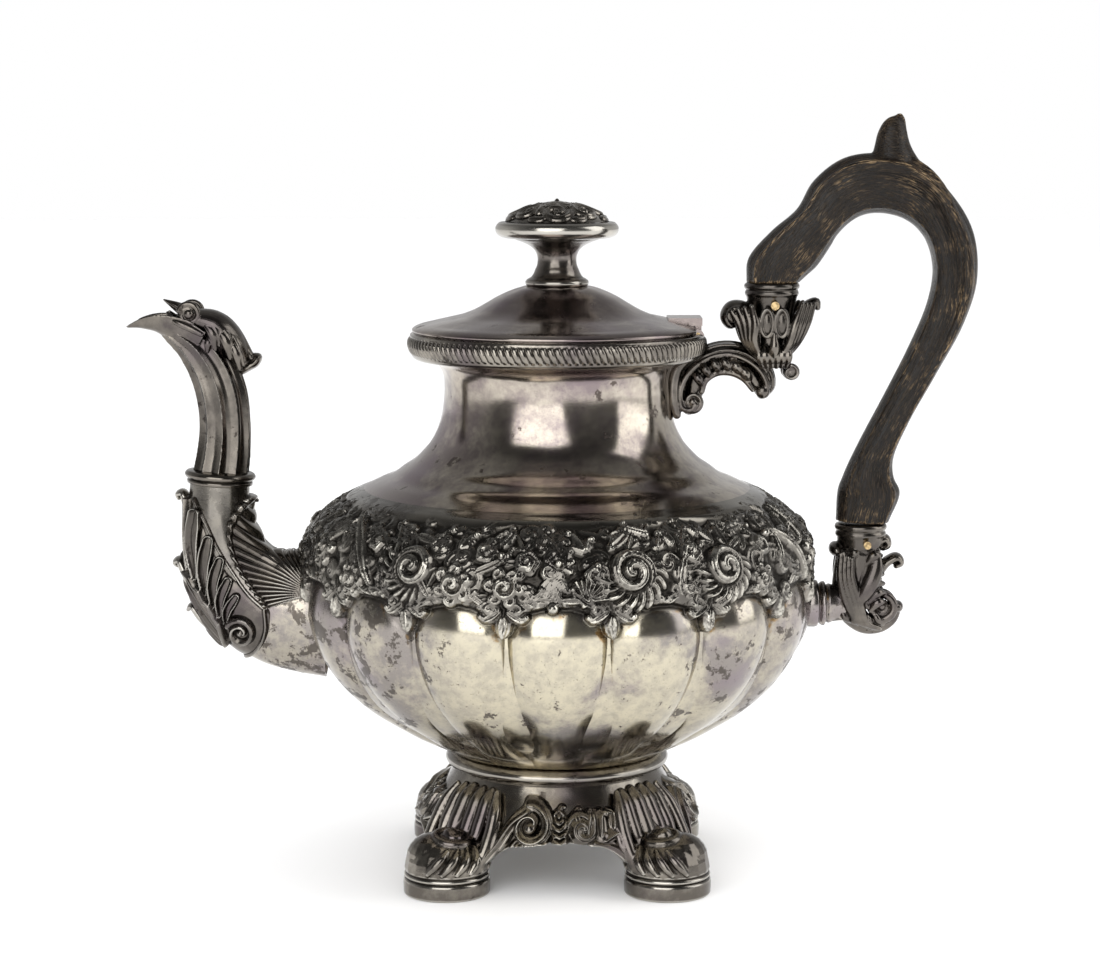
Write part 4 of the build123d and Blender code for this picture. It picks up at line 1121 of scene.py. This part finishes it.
def build_spout_upper():
    """The fluted neck and the long open lower beak."""
    parts = [rod([(-106.6, 124.6), (-105.2, 134.0), (-104.8, 143.0), (-105.8, 152.0), (-108.8, 160.4),
                  (-113.8, 167.0), (-120.2, 171.4)], [9.2, 8.6, 8.3, 8.3, 7.8, 6.6, 4.4], flat=0.98,
                 sides=160, rings=110, wave=(10, 0.17))]
    spine = smooth_curve([(-109.6, 171.4, 9.0, 6.6), (-115.0, 174.6, 8.4, 6.0), (-120.4, 176.0, 7.4, 5.4),
                          (-126.0, 176.4, 5.6, 4.5), (-131.0, 175.2, 3.4, 3.0), (-135.4, 172.9, 0.6, 0.6)],
                         44)
    along = unit(np.gradient(spine[:, :2], axis=0))
    rings = []
    phi = np.linspace(pi, tau, 15)
    for (x, z, h, w), (along_x, along_z) in zip(spine, along):
        wall = min(0.9, 0.45 * w)
        rings.append([(x + along_z * high * sin(p), wide * cos(p), z - along_x * high * sin(p))
                      for high, wide, half in ((h, w, phi), (h - wall, w - wall, phi[::-1])) for p in half])
    parts.append(sheet(capped(np.array(rings))))
    for edge in (-1, 1):
        path = np.stack([spine[:, 0], edge * (spine[:, 3] - 0.4), spine[:, 1]], axis=1)[8:36:3]
        parts.append(tube(path, np.linspace(0.62, 0.34, len(path)), rings=30, sides=10))
    piece("spout_neck_beak", fused(parts, 0.26), DARK, "spout_upper", reach=6, depth=0.2)


def build_spout_head():
    """The hooded head with its curled crest, an eye scroll and feathers on each cheek."""
    parts = [rod([(-123.4, 181.2), (-119.6, 179.2), (-115.0, 176.6), (-111.6, 174.4)], [0.3, 1.5, 2.6, 3.0],
                 flat=1.5, rings=24),
             rod([(-113.6, 175.0), (-108.0, 173.6), (-103.6, 170.4), (-100.6, 166.4), (-98.4, 161.8)],
                 [3.6, 4.4, 4.2, 3.4, 2.2], flat=1.5, sides=30),
             rod([(-109.0, 177.4), (-104.4, 175.0), (-100.6, 170.8), (-97.8, 165.8), (-95.6, 162.0)],
                 [1.0, 1.5, 1.5, 1.4, 1.0], flat=1.4),
             rod([(-99.0, 158.6), (-96.8, 160.4), (-94.8, 161.6), (-94.0, 163.4), (-95.0, 163.8)],
                 [1.0, 1.5, 1.4, 1.1, 0.8], flat=2.6, rings=24)]
    eye = spiral(-115.0, 177.0, 3.3, 1.25, 160, -1, end_r=1.5)
    feathers = [((-111.0, 174.6), (-107.6, 170.8), (-106.8, 166.2), 1.5),
                ((-106.8, 173.0), (-103.4, 168.4), (-102.2, 163.4), 1.6),
                ((-102.6, 169.4), (-100.2, 164.6), (-99.2, 160.0), 1.4),
                ((-109.4, 170.2), (-109.0, 168.0), (-109.4, 165.4), 1.2)]
    for side in (-1, 1):
        parts.append(rod(eye, np.linspace(1.0, 0.7, len(eye)), side * 5.0, rings=60))
        parts.append(ball((-115.0, side * 5.0, 177.0), 1.6, (1, 0.9, 1)))
        parts.append(tube([(-122.0, side * 2.2, 177.2), (-119.4, side * 4.8, 174.8),
                           (-115.2, side * 6.0, 172.9), (-111.0, side * 6.2, 170.8)], [0.6, 1.0, 1.1, 0.9],
                          rings=20))
        for *path, girth in feathers:
            line = [(x, side * y, z) for (x, z), y in zip(path, (5.0, 6.2, 5.6))]
            parts.append(tube(line, [0.7, girth, 0.8], flat=0.8, rings=20))
            line = [(x + 1.3, y * 1.03, z + 1.0) for x, y, z in line]
            parts.append(tube(line, [0.4, 0.6, 0.4], rings=16, sides=8))
    piece("spout_head_crest", fused(parts, 0.22), DARK, "spout_crest", reach=7, depth=0.2)


# ---- handle ---------------------------------------------------------------------------------------
OUTER = [(59.4, 186.6), (59.9, 194.0), (67.0, 202.6), (75.0, 209.6), (80.0, 218.2), (89.0, 225.2),
         (99.4, 227.0), (111.2, 225.0), (122.4, 215.2), (130.0, 203.0), (131.7, 188.0), (127.8, 174.0),
         (119.4, 158.0), (111.0, 142.6), (106.3, 131.0), (106.6, 125.0), (108.6, 120.4), (105.0, 110.6)]
INNER = [(75.8, 186.6), (83.2, 193.8), (88.0, 202.0), (94.4, 207.2), (101.2, 208.3), (109.6, 205.9),
         (115.4, 200.0), (118.0, 190.0), (116.4, 180.4), (110.8, 166.8), (103.2, 151.4), (95.0, 135.4),
         (90.6, 125.6), (87.8, 116.0), (88.6, 110.6)]
GRIP_ROWS = 180
STUB_Z = 84.6


def handle_parts():
    """The wooden grip between its two outlines, the thumb spur that grows out of its back, and its ridges."""
    outer = smooth_curve(OUTER, GRIP_ROWS)
    inner = smooth_curve(INNER, GRIP_ROWS)
    pairs = []
    j = 0.0
    for k, p in enumerate(outer):
        low, high = max(k - 34, 0), min(k + 34, GRIP_ROWS)
        near = low + int(np.argmin(np.linalg.norm(inner[low:high] - p, axis=1)))
        j = max(j, 0.55 * near + 0.45 * k)
        pairs.append(inner[min(int(round(j)), GRIP_ROWS - 1)])
    pairs = smooth_curve(np.array(pairs)[::4], GRIP_ROWS)
    middle = (outer + pairs) / 2
    reach = (outer - pairs) / 2
    width = np.interp(np.linspace(0, 1, GRIP_ROWS), [0, 0.06, 0.16, 0.28, 0.4, 0.55, 0.72, 0.86, 0.93, 1.0],
                      [7.3, 8.2, 7.9, 7.6, 7.6, 7.2, 6.8, 6.9, 7.6, 7.2])
    phi = around(64)
    power = 0.92
    c = np.sign(np.cos(phi)) * np.abs(np.cos(phi)) ** power
    s = np.sign(np.sin(phi)) * np.abs(np.sin(phi)) ** power
    ridge = 1 + sum(high * np.exp(-((phi - spot) / 0.12) ** 2)
                    for spot, high in ((0.86, 0.17), (tau - 0.86, 0.17), (pi - 0.8, 0.07), (pi + 0.8, 0.07)))
    rings = np.stack([middle[:, :1] + reach[:, :1] * c * ridge, width[:, None] * s * ridge,
                      middle[:, 1:] + reach[:, 1:] * c * ridge], axis=-1)
    spur = rod([(104.6, 219.0), (104.2, 225.0), (104.0, 229.0), (104.3, 232.6), (105.4, 236.0),
                (106.6, 238.0)], [9.0, 6.6, 5.1, 4.4, 3.2, 1.3], flat=0.8, rings=60, sides=28)
    wing = rod([(113.4, 219.4), (110.2, 224.2), (108.2, 229.0), (107.4, 234.0), (107.4, 237.2)],
               [3.4, 2.6, 2.0, 1.5, 1.0], flat=1.1, rings=30)
    parts = [sheet(capped(rings)), spur, wing]
    for side in (-1, 1):
        pick = np.arange(64, 142, 6)
        angle = np.interp(pick, [64, 82, 142], [0.2, 0.95, 1.05])
        crest = middle[pick] + reach[pick] * np.cos(angle)[:, None] ** power
        path = np.stack([crest[:, 0], side * width[pick] * np.sin(angle) ** power, crest[:, 1]], axis=1)
        parts.append(tube(path, 2.1 * np.sin(np.linspace(0.5, 2.9, len(pick))), rings=70, sides=12))
    return parts, middle


def build_wood():
    """The carved grip, with each vertex's place along and across the grain."""
    parts, middle = handle_parts()
    mesh = fused(parts, 0.5, 2)
    at = vertex_values(mesh, "co") / MM
    flow = unit(np.gradient(middle, axis=0))
    gap = np.hypot(at[:, 0, None] - middle[:, 0], at[:, 2, None] - middle[:, 1])
    near = np.argmin(gap, axis=1)
    away = at[:, [0, 2]] - middle[near]
    along = lengths(middle)[near] + np.sum(away * flow[near], axis=1)
    across = away[:, 0] * flow[near, 1] - away[:, 1] * flow[near, 0]
    layer = mesh.attributes.new("grain", "FLOAT_VECTOR", "POINT")
    field = np.stack([along, at[:, 1], across], axis=1)
    layer.data.foreach_set("vector", field.astype(np.float32).ravel())
    piece("grip_carved", mesh, WOOD, "wood_handle", reach=14, depth=0.35)


def socket_cup(x, top, bottom, wide, narrow):
    """A turned cup with a double ring at its mouth."""
    line = smooth_curve([(0.05, bottom), (narrow * 0.8, bottom), (narrow, bottom + 1.5),
                         (narrow * 1.08, bottom + 6), (wide * 0.9, top - 7.5), (wide * 0.98, top - 5.0),
                         (wide, top - 4.2), (wide * 1.06, top - 3.6), (wide * 1.04, top - 2.6),
                         (wide * 1.0, top - 2.2), (wide * 1.08, top - 1.6), (wide * 1.08, top - 0.6),
                         (wide, top), (0.05, top + 0.2)], 70)
    return lathe(line, 60, centre=(x, 0))


# ---- stage ----------------------------------------------------------------------------------------
def build_upper_cup():
    """The cup over the grip's upper end: tall leaves, a curled leaf each way, and a scroll under it."""
    parts = [socket_cup(67.4, 186.6, 162.5, 8.0, 5.0),
             rod([(63.4, 163.6), (62.6, 169.0), (61.0, 174.6), (58.0, 178.4), (54.6, 178.6), (53.0, 175.6),
                  (54.6, 173.4), (56.4, 174.4)], [1.8, 2.4, 2.8, 2.6, 2.2, 1.8, 1.5, 1.2], flat=1.9,
                 rings=60),
             rod([(71.0, 164.0), (74.2, 170.4), (76.8, 176.0), (79.4, 179.8), (81.4, 180.6), (81.8, 178.8)],
                 [1.8, 2.2, 2.2, 1.7, 1.3, 1.0], flat=2.0, rings=50),
             ball((73.4, 0, 158.6), 2.6, (1, 1.7, 1))]
    loop = around(15) * 15 / 14
    for side in (-1, 1):
        parts += strands(4, [(64.0, 7.4, 163.4), (61.6, 8.0, 168.6), (61.8, 8.4, 174.0), (60.6, 7.6, 179.6)],
                         [(-0.4, -0.5, 0), (-0.9, -0.7, 0), (-1.6, -0.9, 0), (-2.0, -0.8, -0.6)],
                         [0.8, 1.25, 1.35, 0.8], side, rings=26, sides=12)
        parts += strands(4, [(69.6, 7.2, 163.0), (72.6, 8.0, 168.6), (74.2, 8.2, 174.2), (76.4, 6.8, 180.0)],
                         [(0.5, -0.5, 0), (0.9, -0.8, 0), (1.3, -1.0, 0), (1.3, -1.0, 0)],
                         [0.8, 1.25, 1.3, 0.8], side, rings=26, sides=12)
        for x in (65.4, 70.0):
            oval = np.stack([x + 1.9 * np.cos(loop), 174.4 + 4.2 * np.sin(loop)], axis=1)
            parts.append(rod(oval, 0.75, side * 8.3, rings=50, sides=10))
            parts.append(ball((x, side * 7.6, 174.4), 1.0, (1.5, 1.4, 3.6)))
        parts.append(tube([(67.6, side * 6.6, 162.6), (67.7, side * 8.6, 166.6), (67.7, side * 8.6, 171.0)],
                          [1.2, 1.7, 0.7], rings=16))
        parts += strands(6, [(62.8, 6.6, 166.8), (63.2, 7.6, 164.0), (64.2, 5.4, 160.6)],
                         [(1.9, 0, 0), (1.8, 0, 0), (1.5, 0, 0)], [0.8, 1.35, 0.8], side, rings=14, sides=10)
        eye = spiral(73.4, 158.6, 2.3, 1.2, 90, side, end_r=0.8)
        parts.append(rod(eye, np.linspace(0.7, 0.4, len(eye)), side * 4.0, sides=10))
        rim = [(58.8, 176.0), (57.2, 178.6), (54.6, 178.2), (53.6, 176.2), (54.8, 174.8)]
        parts.append(rod(rim, [0.8, 0.9, 0.9, 0.8, 0.6], side * 4.6, rings=30, sides=10))
    piece("upper_cup_leaves", fused(parts, 0.26), DARK, "upper_handle_socket", depth=0.22)


def build_bracket():
    """The C-scroll from the neck to the upper cup, with its straps against the neck."""
    arch = [(41.6, 146.6), (38.6, 149.4), (38.4, 154.0), (40.6, 159.2), (45.2, 163.4), (51.2, 165.6),
            (57.4, 165.2), (62.8, 162.2), (66.2, 158.0), (66.8, 154.0), (64.6, 151.6)]
    rim = [(43.6, 148.6), (42.2, 146.8), (39.6, 147.4), (38.6, 151.0), (39.8, 156.0), (43.2, 160.4),
           (48.4, 163.4), (54.6, 164.2), (60.4, 162.0), (64.4, 158.2), (65.8, 154.0), (64.6, 151.4)]
    inner = [(45.4, 152.6), (46.4, 156.0), (49.8, 158.4), (54.4, 158.6), (58.6, 156.6), (61.4, 153.2)]
    core = [(43.0, 151.0), (44.4, 157.0), (48.6, 160.6), (54.0, 161.2), (59.4, 158.8), (62.8, 154.6)]
    strap = [(37.6, 145.4), (36.4, 150.0), (36.4, 155.0), (37.8, 160.0), (41.0, 163.0)]
    beads = [(44.4, 156.8), (46.8, 159.4), (49.8, 161.0), (53.0, 161.4), (56.4, 160.4), (59.2, 158.4)]
    eye = spiral(42.6, 149.4, 3.4, 1.3, 180, 1, end_r=0.9)
    parts = [rod(arch, [1.8, 1.9, 2.1, 2.4, 2.6, 2.7, 2.7, 2.5, 2.3, 2.0, 1.8], flat=1.9, rings=90, sides=40,
                 wave=(8, 0.14))]
    for side in (-1, 1):
        parts += [rod(rim, np.linspace(1.1, 0.9, len(rim)), side * 4.4, rings=100, sides=12),
                  rod(eye, np.linspace(0.9, 0.6, len(eye)), side * 4.4, rings=60, sides=12),
                  ball((42.6, side * 3.6, 149.4), 1.7, (1, 1.2, 1)),
                  ball((64.6, side * 3.6, 152.6), 2.3, (1, 0.9, 1)),
                  rod(inner, [0.9, 1.1, 1.1, 1.1, 1.0, 0.8], side * 4.2, rings=50, sides=12)]
        for x, z in beads:
            path = [(x - 2.0, side * 4.0, z + 2.0), (x - 0.2, side * 5.4, z + 0.2),
                    (x + 1.2, side * 4.2, z - 2.0)]
            parts.append(tube(path, [0.9, 1.6, 0.9], rings=16, sides=10))
    parts.append(rod(core, [2.8, 3.6, 3.9, 3.9, 3.4, 2.6], flat=1.15, rings=50))
    for y in (-4.6, 0, 4.6):
        parts.append(rod(strap, [1.4, 1.9, 1.9, 1.8, 1.4], y, rings=30, sides=14))
    piece("bracket_c_scroll", fused(parts, 0.26), DARK, "upper_scroll_bracket", depth=0.22)


def build_lower_cup():
    """The cup under the grip's lower end, its leafy tail and the scrolls beside it."""
    parts = [socket_cup(96.4, 110.4, 96.0, 7.6, 5.8),
             rod([(95.4, 101.0), (94.2, 94.0), (93.2, 87.4), (94.4, 81.6), (98.6, 77.6), (103.2, 77.4),
                  (106.8, 79.8), (108.2, 82.6)], [6.6, 6.4, 5.6, 4.4, 3.0, 2.2, 1.8, 1.5], rings=60, sides=30),
             ball((108.4, 0, 83.6), 1.9, (1, 2.0, 1)),
             ball((88.4, 0, 102.2), 2.1, (1, 2.6, 1.1)),
             rod([(99.6, 88.6), (102.0, 94.0), (105.4, 98.4), (108.2, 99.4), (109.2, 97.6), (107.8, 96.6)],
                 [1.8, 1.6, 1.6, 1.5, 1.2, 0.9], flat=2.4),
             rod([(98.4, 100.0), (101.8, 104.6), (104.2, 105.4), (104.9, 103.4), (103.6, 102.4)],
                 [2.0, 1.9, 1.6, 1.3, 1.0], flat=2.3)]
    curl = spiral(103.0, 84.2, 4.6, 1.35, 250, 1, end_r=1.2)
    for side in (-1, 1):
        parts += [rod(curl, np.linspace(1.5, 0.8, len(curl)), side * 2.8, rings=60, sides=14),
                  ball((103.0, side * 2.8, 84.2), 1.5, (1, 1.2, 1)),
                  rod([(98.0, 103.6), (95.2, 97.0), (94.0, 90.6), (95.4, 84.4), (99.0, 80.4)],
                      [0.9, 1.2, 1.3, 1.2, 0.8], side * 5.0, sides=12),
                  rod([(100.2, 103.0), (97.6, 97.0), (96.6, 91.0), (97.6, 85.6), (100.4, 82.0)],
                      [0.7, 0.9, 0.9, 0.9, 0.6], side * 5.2, sides=12)]
        parts += strands(6, [(97.8, 5.4, 98.2), (100.2, 5.8, 100.8), (102.4, 4.2, 100.6)],
                         [(0.3, 0, -3.0)] * 3, [0.9, 1.5, 0.8], side, rings=16, sides=10)
        for k in range(5):
            x, z = 90.6 + 2.6 * k, 80.4 - 1.2 * k + 0.25 * k * k
            path = [(x - 0.6, side * 3.8, z + 3.2), (x + 0.6, side * 4.4, z + 0.6),
                    (x + 2.6, side * 3.0, z - 1.2)]
            parts.append(tube(path, [0.7, 1.2, 0.7], rings=16, sides=10))
        parts += strands(4, [(89.6, 5.4, 101.0), (89.4, 5.8, 94.0), (91.0, 5.8, 87.0), (94.6, 5.0, 80.4),
                             (99.6, 3.6, 77.0)], [(1.2, 0.4, -0.4), (1.3, 0.3, 0), (1.5, 0.2, 0),
                                                  (1.4, 0, -0.6), (1.0, 0, 0)], [0.8, 1.15, 1.25, 1.1, 0.7],
                         side, rings=36, sides=12)
        parts += [tube([(93.0, side * 5.6, 83.4), (98.0, side * 7.0, 90.0), (100.8, side * 6.2, 97.0),
                        (101.4, side * 5.0, 102.4)], [0.8, 2.4, 2.2, 0.8], flat=0.7, rings=36, sides=14),
                  ball((94.0, side * 5.6, 101.6), 1.6),
                  ball((90.8, side * 4.6, 101.0), 1.8)]
    piece("lower_cup_leaves", fused(parts, 0.26), DARK, "lower_handle_socket", depth=0.22)


def build_stub():
    """The ringed spigot from the bowl to the lower cup, turned about a line along X."""
    line = smooth_curve([(7.4, 78.0), (7.5, 82.0), (7.2, 82.8), (6.2, 83.2), (6.9, 84.0), (7.0, 85.0),
                         (6.0, 85.6), (6.3, 86.4), (5.8, 88.0), (5.6, 91.6)], 60)
    points, faces = lathe(line, 90)
    lying = np.stack([points[:, 2], points[:, 0], points[:, 1] + STUB_Z], axis=1)
    piece("stub_ringed", (lying, faces), BODY, "lower_handle_stub")


def area_light(name, place_at, aim, width, height, power):
    data = bpy.data.lights.new(name, "AREA")
    data.shape = "RECTANGLE"
    data.size, data.size_y = width, height
    data.energy = power
    lamp = add_object(name, data)
    lamp.location = place_at
    lamp.rotation_euler = (Vector(aim) - Vector(place_at)).to_track_quat("-Z", "Y").to_euler()


def build_room():
    """A room that is white to the eye and to matt surfaces, and mostly dark in the silver's reflections."""
    world = bpy.data.worlds.new("studio")
    bpy.context.scene.world = world
    world.use_nodes = True
    world.node_tree.nodes.clear()
    n = Nodes(world.node_tree)
    way = n.new("ShaderNodeSeparateXYZ", Vector=n.new("ShaderNodeTexCoord").outputs["Generated"])
    behind = n.ramp(way.outputs[1], -0.5, 0.5)
    above = n.ramp(way.outputs[2], 0.15, 0.75)
    level = n.times(n.plus(n.times(behind, 0.50), 0.125), n.math("SUBTRACT", 1.0, n.times(above, 0.55)))
    rays = n.new("ShaderNodeLightPath")
    plain = n.math("MAXIMUM", rays.outputs["Is Camera Ray"], n.times(rays.outputs["Is Diffuse Ray"], 1.27))
    level = n.math("MAXIMUM", level, plain)
    background = n.new("ShaderNodeBackground", Color=rgb(1.0, 1.0, 1.0), Strength=level)
    n.new("ShaderNodeOutputWorld", Surface=background.outputs[0])


def white_paper():
    """Matt white paper with a faint cloud."""
    material, n, shader = start_material("white_paper")
    cloud = n.ramp(n.noise(n.place(), 9.0, 2.0), 0.3, 0.7)
    n.feed(shader.inputs["Base Color"], n.mix(cloud, rgb(0.925, 0.925, 0.93), rgb(0.94, 0.94, 0.945)))
    n.feed(shader.inputs["Roughness"], 0.75)
    return material


def build_stage():
    build_room()
    mesh = make_mesh("floor", *lathe([(r, -0.05) for r in (0.1, 200.0, 600.0, 2000.0, 6000.0)], 128))
    mesh.shade_smooth()
    floor = add_object("floor", mesh)
    floor.data.materials.append(white_paper())
    area_light("softbox_front", (-0.40, -1.60, 0.78), (0, 0, 0.16), 1.5, 1.45, 19)
    area_light("softbox_right", (1.30, -0.15, 0.74), (0, 0, 0.14), 0.9, 1.35, 8)
    bpy.context.scene.view_settings.view_transform = "Standard"


def build_camera():
    data = bpy.data.cameras.new("camera")
    data.sensor_width = 36.0
    data.lens = 88.6
    camera = add_object("camera", data)
    camera.location = (-0.0022, -0.850, 0.236)
    camera.rotation_euler = (radians(90 - 7.52), 0, 0)
    bpy.context.scene.camera = camera


def dress_kept_nodes():
    """Materials for the parts whose plain shape is seen as it is."""
    kept = {BRASS: ["upper_handle_pin", "lower_handle_pin", "hinge_pin", "finial_stud", "finial_washer",
                    "finial_nut"], NECK: ["hinge_body_leaf", "hinge_lid_leaf", "spout_strainer"],
            LID: ["lid_bezel"]}
    for material, nodes in kept.items():
        for node in nodes:
            for place in bpy.data.objects[node].material_slots:
                place.material = material


build_body()
build_neck()
build_rim()
build_lid()
build_base()
build_legs()
build_spout_lower()
build_spout_leaves()
build_spout_upper()
build_spout_head()
build_wood()
build_upper_cup()
build_bracket()
build_lower_cup()
build_stub()
dress_kept_nodes()
build_stage()
build_camera()
